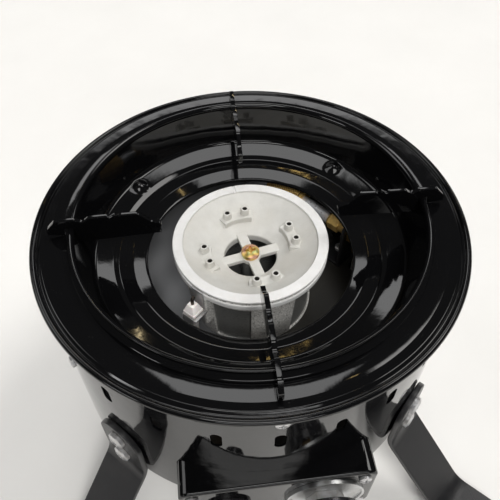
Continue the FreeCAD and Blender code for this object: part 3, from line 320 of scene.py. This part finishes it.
def tray_steel():
    """Coated sheet with a satin sheen, painted dark towards its right as painted shade, with a painted brown
    reflection along the edge of that shade.
    """
    s = Shader("tray_steel")
    x, y = s.axes()[:2]
    # painted shade: the sheet is painted dark towards its right, past a wavy edge, where the burner's shadow
    # falls
    rightwards = s.math("MULTIPLY_ADD", y, -0.35, x)
    edge = s.math("MULTIPLY_ADD", s.noise(30, 3, 0.6), 0.02, s.math("SUBTRACT", rightwards, 0.010))
    painted_dark = s.span(edge, -0.012, 0.016)
    # painted reflection: a brown band along the edge of the painted shade
    brown_reflection = s.span(s.math("ABSOLUTE", s.math("SUBTRACT", edge, 0.004)), 0.012, 0.002)
    grain = s.noise(1300, 3)
    color = s.mix(painted_dark, (0.19, 0.193, 0.20), (0.030, 0.028, 0.024))
    color = s.mix(s.math("MULTIPLY", brown_reflection, 0.8), color, (0.085, 0.058, 0.026))
    rough = s.math("MULTIPLY_ADD", painted_dark, 0.08, s.span(s.noise(60, 2), 0.3, 0.7, 0.29, 0.33))
    return s.finish(color, rough, s.bump(grain, 0.00001), metallic=0.35)


def machined_alloy():
    """Cast face, blasted pale, inside a rim turned bright on a lathe."""
    s = Shader("machined_alloy")
    x, y, z = s.axes()
    radius = s.length(x, y)
    on_rim = s.math("MULTIPLY", s.span(radius, HEAD_R - 5.7 * MM, HEAD_R - 5.1 * MM),
                    s.span(z, RIM_Z - 0.9 * MM, RIM_Z - 0.6 * MM))
    grain = s.noise(2100, 3, 0.6)
    blotch = s.noise(110, 4, 0.6)
    streak = s.noise(45, 3, 0.6)
    groove = s.math("SINE", s.math("MULTIPLY", radius, 2 * math.pi / (0.42 * MM)))
    turned = s.math("MULTIPLY_ADD", groove, 0.25, s.noise(900, 2))
    cast_color = s.mix(s.span(blotch, 0.3, 0.7), (0.600, 0.592, 0.560), (0.680, 0.672, 0.640))
    cast_color = s.mix(s.span(streak, 0.45, 0.7, 0.0, 0.5), cast_color, (0.58, 0.555, 0.50))
    cast_color = s.mix(s.span(grain, 0.60, 0.72, 0.0, 0.4), cast_color, (0.45, 0.435, 0.41))
    rim_color = s.mix(s.span(blotch, 0.4, 0.7), (0.80, 0.795, 0.785), (0.73, 0.72, 0.70))
    color = s.mix(on_rim, cast_color, rim_color)
    height = s.add("Mix", {"Factor": on_rim, "A": grain, "B": turned}).outputs["Result"]
    rough = s.add("Mix", {"Factor": on_rim, "A": 0.62, "B": 0.42}).outputs["Result"]
    metal = s.add("Mix", {"Factor": on_rim, "A": 0.35, "B": 0.40}).outputs["Result"]
    # the inside of the jet bores, marked by blacken_jets, is painted dark
    bore_dark = s.add("Attribute", attribute_name="painted_dark").outputs["Fac"]
    color = s.mix(bore_dark, color, (0.045, 0.042, 0.038))
    return s.finish(color, rough, s.bump(height, 0.00005), metallic=metal)


def cast_alloy():
    """Grey cast alloy with pale and dark specks, a band at its top painted pale as a painted highlight and
    pockets in its wall painted dark as painted shade.
    """
    s = Shader("cast_alloy")
    grain = s.noise(1250, 2, 0.6)
    blotch = s.noise(120, 5, 0.6)
    x, y, z = s.axes()
    radius = s.length(x, y)
    # painted highlight: the outer face of the band at the top is painted pale, where the light from the front
    # falls on it
    band_highlight = s.math("MULTIPLY", s.span(radius, HEAD_R - 0.9 * MM, HEAD_R - 0.5 * MM),
                     s.span(z, RIM_Z - 6.9 * MM, RIM_Z - 6.6 * MM))
    color = s.mix(s.span(blotch, 0.3, 0.7), (0.54, 0.53, 0.505), (0.69, 0.675, 0.645))
    color = s.mix(s.span(grain, 0.54, 0.62, 0.0, 0.95), color, (0.86, 0.85, 0.82))
    color = s.mix(s.span(grain, 0.42, 0.34, 0.0, 0.9), color, (0.09, 0.09, 0.085))
    color = s.mix(band_highlight, color, (0.84, 0.835, 0.82))
    # painted shade: pockets sunk into the wall below the band are painted dark and made a little glossier
    wall_radius = s.span(z, RIM_Z - 46.0 * MM, RIM_Z - 9.4 * MM, 33.4 * MM, 36.3 * MM)
    below_band = s.span(z, RIM_Z - 12.0 * MM, RIM_Z - 13.0 * MM)
    pocket_shade = s.math("MULTIPLY", s.span(s.math("SUBTRACT", wall_radius, radius), 0.5 * MM, 1.4 * MM), below_band)
    color = s.mix(s.math("MULTIPLY", pocket_shade, 0.85), color, (0.085, 0.088, 0.085))
    rough = s.math("MULTIPLY_ADD", pocket_shade, -0.12, s.span(grain, 0.3, 0.7, 0.42, 0.6))
    return s.finish(color, rough, s.bump(grain, 0.00012), metallic=0.35)


def yellow_zinc():
    """Yellow passivated zinc, drifting to pink and green."""
    s = Shader("yellow_zinc")
    drift = s.noise(190, 1)
    color = s.mix(s.span(drift, 0.40, 0.50), (0.80, 0.44, 0.30), (0.78, 0.55, 0.16))
    color = s.mix(s.span(drift, 0.54, 0.62), color, (0.60, 0.60, 0.24))
    return s.finish(color, 0.34, s.bump(s.noise(900, 2), 0.00001), metallic=0.9)


def plated_steel(name, base, worn, rough):
    """Bright zinc or drawn steel with fine streaks."""
    s = Shader(name)
    blotch = s.noise(260, 4, 0.6)
    normal = s.bump(s.noise(1900, 3), 0.00004, normal=s.soft_edges(0.0003))
    color = s.mix(s.span(blotch, 0.42, 0.68), base, worn)
    return s.finish(color, s.span(blotch, 0.3, 0.7, rough, rough + 0.14), normal, metallic=0.85)


def brass():
    """Turned brass, turned brown by heat in patches."""
    s = Shader("brass")
    patch = s.noise(170, 4, 0.6)
    color = s.mix(s.span(patch, 0.40, 0.66), (0.80, 0.54, 0.18), (0.46, 0.28, 0.10))
    normal = s.bump(s.noise(1500, 3), 0.00003, normal=s.soft_edges(0.00025))
    return s.finish(color, s.span(patch, 0.3, 0.7, 0.28, 0.42), normal, metallic=0.7)


def knurled_brass():
    """Brass painted darker in the grooves of the sleeve's knurling, as painted shade."""
    s = Shader("knurled_brass")
    side = polar(1.0, JET_AZ)
    x, y, z = s.axes()
    across = s.math("MULTIPLY_ADD", x, side.x, s.math("MULTIPLY_ADD", y, side.y, -JET_OFFSET))
    depth = s.math("SUBTRACT", SLEEVE_R, s.length(across, s.math("SUBTRACT", z, JET_Z)))
    patch = s.noise(170, 4, 0.6)
    color = s.mix(s.span(patch, 0.40, 0.66), (0.84, 0.57, 0.19), (0.52, 0.32, 0.12))
    # painted shade: the deeper a point lies in a knurling groove, the darker it is painted
    color = s.mix(s.span(depth, 0.1 * MM, 0.35 * MM), color, (0.10, 0.06, 0.025))
    rough = s.span(patch, 0.3, 0.7, 0.28, 0.42)
    return s.finish(color, rough, s.bump(s.noise(1500, 3), 0.00003), metallic=0.7)


def drawn_tube():
    """Drawn aluminium tube with a faint heat tint."""
    s = Shader("drawn_tube")
    tint = s.noise(80, 3)
    streak = s.noise(500, 2)
    color = s.mix(s.span(tint, 0.4, 0.6), (0.72, 0.74, 0.78), (0.66, 0.60, 0.56))
    return s.finish(color, s.span(streak, 0.3, 0.7, 0.26, 0.36), s.bump(streak, 0.00002), metallic=0.6)


def ceramic():
    """Dense white ceramic with a warm cast and a few grey specks."""
    s = Shader("white_ceramic")
    speck = s.span(s.noise(1700, 2), 0.66, 0.72, 0.0, 0.45)
    stain = s.span(s.noise(190, 4), 0.45, 0.75)
    color = s.mix(stain, (0.92, 0.88, 0.86), (0.84, 0.77, 0.73))
    color = s.mix(speck, color, (0.35, 0.32, 0.30))
    normal = s.bump(s.noise(1300, 2), 0.00003, normal=s.soft_edges(0.0004))
    return s.finish(color, 0.38, normal, subsurface_weight=0.08, subsurface_scale=0.001)


def rubber():
    """Dull black rubber with a pale bloom."""
    s = Shader("rubber")
    grain = s.noise(1100, 4, 0.6)
    bloom = s.span(s.noise(70, 5, 0.65), 0.45, 0.75)
    color = s.mix(bloom, (0.022, 0.022, 0.022), (0.045, 0.044, 0.042))
    normal = s.bump(grain, 0.00008, normal=s.soft_edges(0.0005))
    return s.finish(color, s.span(bloom, 0, 1, 0.6, 0.75), normal)


def lead_sleeve(name, color, deep, rough):
    """Extruded sleeve over a wire, with a soft lengthwise ripple."""
    s = Shader(name)
    ripple = s.noise(240, 2)
    mixed = s.mix(s.span(ripple, 0.4, 0.65), color, deep)
    return s.finish(mixed, rough, s.bump(ripple, 0.00025))


def moulded_plastic():
    """Glossy black moulding with faint handling marks."""
    s = Shader("moulded_plastic")
    marks = s.noise(130, 6, 0.7)
    normal = s.bump(s.noise(700, 2), 0.00003, normal=s.soft_edges(0.0004))
    color = s.mix(s.span(marks, 0.5, 0.8), (0.012, 0.012, 0.013), (0.028, 0.027, 0.027))
    return s.finish(color, s.span(marks, 0.35, 0.75, 0.16, 0.34), normal)


def white_inlay():
    """White enamel filling, slightly yellowed."""
    s = Shader("white_inlay")
    marks = s.noise(400, 4)
    color = s.mix(s.span(marks, 0.45, 0.75), (0.82, 0.81, 0.78), (0.62, 0.60, 0.56))
    return s.finish(color, s.span(marks, 0.3, 0.7, 0.25, 0.4), s.bump(marks, 0.00002))


def dial_metal():
    """Bezel brushed in circles about the knob's axis."""
    s = Shader("dial_metal")
    low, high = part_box("dial_ring")
    centre = (low + high) / 2
    shifted = s.add("VectorMath", {0: s.place, 1: centre}, operation="SUBTRACT").outputs[0]
    axes = s.axes(shifted)
    turns = s.math("MULTIPLY", s.length(axes["X"], axes["Z"]), 4000.0)
    lines = s.add("TexNoise", {"W": turns, "Detail": 3.0}, noise_dimensions="1D")
    color = s.mix(s.span(s.noise(160, 4), 0.4, 0.7), (0.60, 0.61, 0.62), (0.48, 0.48, 0.47))
    normal = s.bump(lines.outputs["Fac"], 0.00004, normal=s.soft_edges(0.0003))
    return s.finish(color, 0.32, normal, metallic=1.0)


MATERIALS = {
    "black_enamel": black_enamel(),
    "black_powder_coat": powder_coat(),
    "tray_steel": tray_steel(),
    "machined_alloy": machined_alloy(),
    "cast_alloy": cast_alloy(),
    "yellow_zinc": yellow_zinc(),
    "zinc_steel": plated_steel("zinc_steel", (0.62, 0.62, 0.63), (0.50, 0.485, 0.47), 0.34),
    "spring_steel": plated_steel("spring_steel", (0.40, 0.39, 0.38), (0.24, 0.22, 0.20), 0.30),
    "burnt_steel": plated_steel("burnt_steel", (0.075, 0.062, 0.055), (0.14, 0.10, 0.075), 0.42),
    "brass": brass(),
    "knurled_brass": knurled_brass(),
    "tube_alloy": drawn_tube(),
    "rubber": rubber(),
    "lead_sleeve": lead_sleeve("lead_sleeve", (0.012, 0.012, 0.012), (0.024, 0.022, 0.021), 0.16),
    "lead_silicone": lead_sleeve("lead_silicone", (0.42, 0.07, 0.045), (0.30, 0.05, 0.035), 0.38),
    "white_ceramic": ceramic(),
    "black_plastic": moulded_plastic(),
    "white_inlay": white_inlay(),
    "dial_metal": dial_metal(),
}


def paint_frame():
    """Gives every carried-over CAD node the material of its record slot."""
    for part in frame["record"]["subparts"]:
        mesh = frame["nodes"][part["node"]].data
        mesh.materials.clear()
        mesh.materials.append(MATERIALS[part["material_slot"]])


def round_edges(width, *names):
    """Rounds the sharp edges of carried-over CAD nodes, as pressing, moulding or deburring leaves them."""
    for name in names:
        node = frame["nodes"][name]
        weld = node.modifiers.new("weld", "WELD")
        weld.merge_threshold = 0.002 * MM
        bevel = node.modifiers.new("bevel", "BEVEL")
        bevel.width = width
        bevel.segments = 2
        bevel.limit_method = "ANGLE"
        bevel.angle_limit = math.radians(40)
        bevel.use_clamp_overlap = True


def paint(piece, slot):
    """Gives a new piece one material."""
    piece.data.materials.clear()
    piece.data.materials.append(MATERIALS[slot])


# ---------------------------------------------------------------- drip bowl and ring


def bowl_path():
    """Visible face of the bowl from its floor hole to the end of its curled rim, as (radius, z)."""
    def at(radius, above_rim, bend=0.0):
        return (radius * MM, RIM_Z + above_rim * MM, bend * MM)
    return rounded([at(53.4, -10.6), at(53.4, -9.1, 0.9), at(60.5, -6.9, 4.0), at(67.6, -6.3, 2.0),
                    at(70.0, -5.0, 1.4), at(79.5, -2.2, 3.0), (BOWL_R - 3.5 * MM, BOWL_Z, 1.7 * MM),
                    (BOWL_R, BOWL_Z, 1.7 * MM), (BOWL_R, RING_Z + 0.05 * MM)])


def dome_lift(point):
    """Height that the two pressed domes add at a point of the bowl's shelf."""
    lift = 0.0
    for azimuth in DOME_AZIMUTHS:
        centre = polar(DOME_CIRCLE_R, azimuth)
        distance = (Vector((point.x, point.y, 0)) - centre).length / DOME_R
        if distance < 1:
            lift = DOME_RISE * (0.5 + 0.5 * math.cos(math.pi * distance)) ** 0.8
    return lift


def build_bowl():
    """Pressed bowl with its two domes and the faint waviness of enamelled sheet."""
    section = sheet_section(divided(bowl_path(), 0.8 * MM), SHEET)
    mesh = revolved("bowl_enamel", section)
    shelf_top = RIM_Z + 1.0 * MM
    for vertex in mesh.vertices:
        if vertex.co.z < shelf_top:
            vertex.co.z += dome_lift(vertex.co)
        vertex.co.z += noise.noise(vertex.co * 45.0) * 0.06 * MM
    piece = new_object("bowl_enamel", mesh, "drip_pan", "drip_bowl")
    paint(piece, "black_enamel")


def build_ring():
    """Flat ring with a groove, a rolled outer edge and a skirt inside the drum."""
    def at(radius, below, bend=0.0):
        return (radius * MM, RING_Z - below * MM, bend * MM)
    outline = [at(86.4, 6), at(86.4, 0, 1.6), at(100.8, 0, 1.2), at(102.0, 1.1, 0.9), at(102.9, 1.1, 0.1),
               at(102.9, -0.2, 1.2), at(106.0, -0.2, 1.55), at(106.0, 3.0, 1.55), at(102.9, 3.0, 1.2),
               at(102.9, 2.1, 0.1), at(100.98, 2.1, 0.1), at(100.98, 12, 0.4), at(99.98, 12, 0.4),
               at(99.98, 1.0, 0.3), at(87.4, 1.0, 0.6), at(87.4, 6)]
    mesh = revolved("ring_enamel", rounded(outline, closed=True))
    piece = new_object("ring_enamel", mesh, "root", "top_ring")
    paint(piece, "black_enamel")


# ---------------------------------------------------------------- pan supports


def support_outline():
    """Side of a pan support as (radius, z): blunt tip, waves, a foot over the ring, a slant in the bowl."""
    def at(radius, above_rim, bend=0.0):
        return (radius * MM, RIM_Z + above_rim * MM, bend * MM)
    ring = (RING_Z - RIM_Z) / MM + 0.05
    return rounded([at(43.0, 12.4, 0.8), at(43.4, 18.4, 1.6), at(48.0, 20.2, 6.0), at(53.6, 26, 3.0),
                    at(62.4, 26, 2.6), at(65.2, 22.6, 1.6), at(67.6, 26, 2.2), at(76.4, 26, 2.6),
                    at(79.8, 23.2, 2.0), at(83.4, 25.4, 2.2), at(92.4, 25.4, 3.0), at(97.0, 20.5, 3.0),
                    at(97.0, ring, 0.6), at(88.6, ring, 0.6), at(88.6, 20.4), at(84.9, 20.4),
                    at(82.7, 10.6, 0.8)], closed=True)


def build_support(name, azimuth):
    """Plate with its edges rounded over, as enamel leaves them, and slightly uneven faces."""
    outline = support_outline()
    half = PLATE_T / 2
    bm = bmesh.new()
    ring = [bm.verts.new((p.x, -half, p.y)) for p in outline]
    face = bm.faces.new(ring)
    grown = bmesh.ops.extrude_face_region(bm, geom=[face])
    moved = [g for g in grown["geom"] if isinstance(g, bmesh.types.BMVert)]
    bmesh.ops.translate(bm, verts=moved, vec=(0, PLATE_T, 0))
    bmesh.ops.recalc_face_normals(bm, faces=bm.faces)
    edges = [e for e in bm.edges if abs(e.verts[0].co.y - e.verts[1].co.y) < 1e-7]
    bmesh.ops.bevel(bm, geom=edges, offset=0.8 * MM, segments=4, profile=0.5, affect="EDGES",
                    clamp_overlap=True)
    bmesh.ops.triangulate(bm, faces=[f for f in bm.faces if len(f.verts) > 4])
    for vertex in bm.verts:
        vertex.co.z += noise.noise(vertex.co * 260.0) * 0.12 * MM
    mesh = bpy.data.meshes.new("support_" + name)
    bm.to_mesh(mesh)
    bm.free()
    mesh.transform(Matrix.Rotation(math.radians(azimuth), 4, "Z"))
    piece = new_object("support_" + name, mesh, "drip_pan", "pan_support_" + name)
    paint(piece, "black_enamel")


# ---------------------------------------------------------------- castings


def blacken_jets(mesh):
    """Marks the inside of the eight jet posts, which the shader paints dark."""
    post_circle, bore_reach = 23.9 * MM, 1.42 * MM
    mouth_z = RIM_Z - 2.75 * MM
    posts = [polar(post_circle, 12.6 + 90 * quarter + side) for quarter in range(4) for side in (-12, 12)]
    painted_dark = mesh.attributes.new("painted_dark", "FLOAT", "POINT")
    for vertex in mesh.vertices:
        flat = Vector((vertex.co.x, vertex.co.y, 0))
        inside = any((flat - post).length < bore_reach for post in posts)
        painted_dark.data[vertex.index].value = 1.0 if inside and vertex.co.z < mouth_z else 0.0


def cast_copy(name, node, body, slot, voxel, smoothing):
    """Copy of a CAD node with its edges and inner corners softened as a casting's are."""
    mesh = frame["nodes"][node].data.copy()
    mesh.name = name
    piece = new_object(name, mesh, body, node)
    remesh = piece.modifiers.new("remesh", "REMESH")
    remesh.mode = "VOXEL"
    remesh.voxel_size = voxel
    smooth = piece.modifiers.new("smooth", "SMOOTH")
    smooth.factor = 0.5
    smooth.iterations = smoothing
    bpy.context.view_layer.update()
    shaped = bpy.data.meshes.new_from_object(piece.evaluated_get(bpy.context.evaluated_depsgraph_get()))
    piece.modifiers.clear()
    piece.data = shaped
    smooth_shaded(shaped)
    paint(piece, slot)
    return piece


# ---------------------------------------------------------------- knurled air sleeve


def knurl_cut(angle, reach):
    """Depth of the crossed grooves at a point of the sleeve, as a share of their full depth."""
    around = KNURL_STARTS * angle / (2 * math.pi)
    slant = 4.0 * reach / SLEEVE_R
    left = (around + slant) % 1.0
    right = (around - slant) % 1.0
    return max(0.0, 1 - 5 * min(left, 1 - left), 1 - 5 * min(right, 1 - right))


def sleeve_radius(angle, reach):
    """Outside of the sleeve, where the knurling fades out and a chamfer begins near each end."""
    end_gap = min(reach, SLEEVE_LENGTH - reach)
    fade = min(1.0, end_gap / (1.2 * MM))
    chamfer = 0.5 * MM * max(0.0, 1 - end_gap / (0.6 * MM))
    return SLEEVE_R - KNURL_DEPTH * knurl_cut(angle, reach) * fade - chamfer


def build_sleeve():
    """Sleeve with crossed knurling on its outside and a plain bore."""
    along = polar(1.0, JET_AZ + 90)
    side = polar(1.0, JET_AZ)
    start = polar(JET_OFFSET, JET_AZ, JET_Z) + along * SLEEVE_START
    turns, rings = 336, 132
    angles = [2 * math.pi * i / turns for i in range(turns)]

    def point(reach, radius, angle):
        across = side * (radius * math.cos(angle))
        return start + along * reach + across + Vector((0, 0, radius * math.sin(angle)))
    rows = []
    for k in range(rings + 1):
        reach = SLEEVE_LENGTH * k / rings
        rows.append([point(reach, sleeve_radius(angle, reach), angle) for angle in angles])
    for reach in (SLEEVE_LENGTH, 0.0):
        rows.append([point(reach, SLEEVE_BORE_R, angle) for angle in angles])
    mesh = closed_grid("sleeve_knurled", rows)
    piece = new_object("sleeve_knurled", mesh, "air_control", "air_sleeve")
    paint(piece, "knurled_brass")


# ---------------------------------------------------------------- springs


def build_spring(node):
    """Spring copied from its CAD node and painted spring steel."""
    mesh = frame["nodes"][node].data.copy()
    piece = new_object(node + "_coil", mesh, "root", node)
    paint(piece, "spring_steel")
    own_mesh(piece)


# ---------------------------------------------------------------- floor, light and camera


def build_floor():
    """Plain pale floor, seen only in the pictures."""
    bpy.ops.mesh.primitive_plane_add(size=6.0, location=(0, 0, cad_low.z - 0.0002))
    floor = bpy.context.object
    floor.name = "floor"
    s = Shader("floor")
    color = s.mix(s.noise(14, 4), (0.70, 0.69, 0.67), (0.76, 0.75, 0.73))
    floor.data.materials.append(s.finish(color, 0.6, s.bump(s.noise(600, 3), 0.00005)))


class Sky:
    """World of soft light panels, each a window seen in one direction."""

    def __init__(self):
        world = bpy.data.worlds.new("studio")
        bpy.context.scene.world = world
        world.use_nodes = True
        self.tree = world.node_tree
        self.tree.nodes.clear()
        self.look = self.add("TexCoord").outputs["Generated"]
        self.total = None

    add = Shader.add
    math = Shader.math
    span = Shader.span

    def dot(self, vector):
        """How far the look goes along a vector."""
        return self.add("VectorMath", {0: self.look, 1: vector}, operation="DOT_PRODUCT").outputs["Value"]

    def panel(self, azimuth, elevation, width, height, strength, color=(1, 1, 1), edge=2.0):
        """Adds a panel: centre azimuth and elevation, width, height and soft edge, all in degrees."""
        ahead = direction(azimuth, elevation)
        right = direction(azimuth + 90, 0)
        up = ahead.cross(right)
        depth = self.dot(ahead)
        safe = self.math("MAXIMUM", depth, 0.05)
        mask = self.span(depth, 0.0, 0.1)
        for axis, extent in ((right, width), (up, height)):
            off = self.math("ABSOLUTE", self.math("DIVIDE", self.dot(axis), safe))
            limit = math.tan(math.radians(extent / 2))
            inner = math.tan(math.radians(max(0.0, extent / 2 - edge)))
            mask = self.math("MULTIPLY", mask, self.span(off, limit, inner))
        self.add_light(mask, strength, color)

    def add_light(self, mask, strength, color):
        """Adds a coloured light wherever the mask is above 0."""
        full = tuple(strength * c for c in color)
        light = self.add("VectorMath", {0: full, "Scale": mask}, operation="SCALE").outputs[0]
        if self.total:
            light = self.add("VectorMath", {0: self.total, 1: light}, operation="ADD").outputs[0]
        self.total = light

    def finish(self, seen):
        """Objects are lit by the panels; the camera sees a plain pale backdrop."""
        lit = self.add("Background", {"Color": self.total, "Strength": 1.0})
        plain = self.add("Background", {"Color": (*seen, 1.0), "Strength": 1.0})
        path = self.add("LightPath").outputs["Is Camera Ray"]
        mixed = self.add("MixShader", {0: path, 1: lit.outputs[0], 2: plain.outputs[0]})
        out = self.add("OutputWorld")
        self.tree.links.new(mixed.outputs[0], out.inputs["Surface"])


def soft_lamp(name, azimuth, elevation, spread, strength, color):
    """Distant soft lamp that lights matt surfaces and leaves no spot in the enamel."""
    lamp = bpy.data.lights.new(name, "SUN")
    lamp.energy = strength
    lamp.angle = math.radians(spread)
    lamp.color = color
    holder = bpy.data.objects.new(name, lamp)
    bpy.context.scene.collection.objects.link(holder)
    holder.rotation_mode = "QUATERNION"
    holder.rotation_quaternion = direction(azimuth, elevation).to_track_quat("Z", "Y")
    holder.visible_glossy = False


def build_light():
    """Windows and lamps of a room, placed where the enamel mirrors them to the camera."""
    sky = Sky()
    height = sky.add("SeparateXYZ", {"Vector": sky.look}).outputs["Z"]
    sky.add_light(sky.span(height, -0.2, 1.0, 0.030, 0.055), 1.0, (1.0, 1.0, 1.0))
    # windows ahead of the camera: overhead, seen in the shelf, and low, seen in the bowl's sides
    sky.panel(90, 71, 22, 21, 2.4, edge=1.5)
    sky.panel(91, 42, 34, 9, 2.5, edge=1.0)
    # window to the right, and one above and behind the camera
    sky.panel(28, 56, 22, 22, 4.0, color=(1.0, 0.985, 0.96))
    sky.panel(272, 66, 30, 16, 4.0, color=(1.0, 0.99, 0.97))
    # paler patches: left, low ahead right, low behind the camera, and low behind it to the left
    sky.panel(160, 42, 20, 30, 1.7)
    sky.panel(52, 27, 10, 12, 2.2)
    sky.panel(278, 30, 40, 12, 3.0)
    sky.panel(216, 24, 16, 9, 5.5)
    # small warm lamps, seen as golden glints
    sky.panel(87, 35, 7.0, 0.5, 16.0, color=(1.0, 0.80, 0.46), edge=0.3)
    sky.panel(88, 51, 1.2, 0.7, 13.0, color=(1.0, 0.68, 0.22), edge=0.3)
    sky.panel(57, 66, 1.4, 0.7, 9.0, color=(1.0, 0.72, 0.30), edge=0.3)
    sky.finish((0.86, 0.86, 0.85))
    soft_lamp("key", 28, 56, 24, 1.2, (1.0, 0.985, 0.96))
    soft_lamp("fill", 286, 51, 20, 2.0, (1.0, 0.99, 0.975))


def build_camera():
    """Camera close above the front of the burner, looking down at the head."""
    data = bpy.data.cameras.new("camera")
    camera = bpy.data.objects.new("camera", data)
    bpy.context.scene.collection.objects.link(camera)
    back = direction(270, VIEW_ELEVATION)
    camera.location = Vector((0, 0, RIM_Z)) + back * VIEW_DISTANCE
    camera.rotation_mode = "QUATERNION"
    camera.rotation_quaternion = (-back).to_track_quat("-Z", "Y")
    data.sensor_width = 36.0
    data.lens = 42.2
    data.shift_x = -0.001
    data.shift_y = -0.023
    data.clip_start = 0.01
    bpy.context.scene.camera = camera


def build():
    """Dresses the frame, adds the visual pieces and sets the stage."""
    paint_frame()
    build_bowl()
    build_ring()
    for name, azimuth in (("right", 0), ("rear", 90), ("left", 180), ("front", 270)):
        build_support(name, azimuth)
    head = cast_copy("head_casting", "burner_head", "root", "machined_alloy", 0.20 * MM, 1)
    blacken_jets(head.data)
    cast_copy("body_casting", "burner_body", "root", "cast_alloy", 0.30 * MM, 3)
    build_sleeve()
    build_spring("valve_spring")
    build_spring("igniter_spring")
    round_edges(0.5 * MM, "leg_rear_right", "leg_rear_left", "leg_front_left", "leg_front_right")
    round_edges(0.3 * MM, "inlet_plate", "foot_pads")
    round_edges(0.2 * MM, "jet_bracket", "electrode_bracket")
    round_edges(0.6 * MM, "ceramic_insulator")
    build_floor()
    build_light()
    build_camera()
    bpy.context.scene.view_settings.view_transform = "Standard"


build()
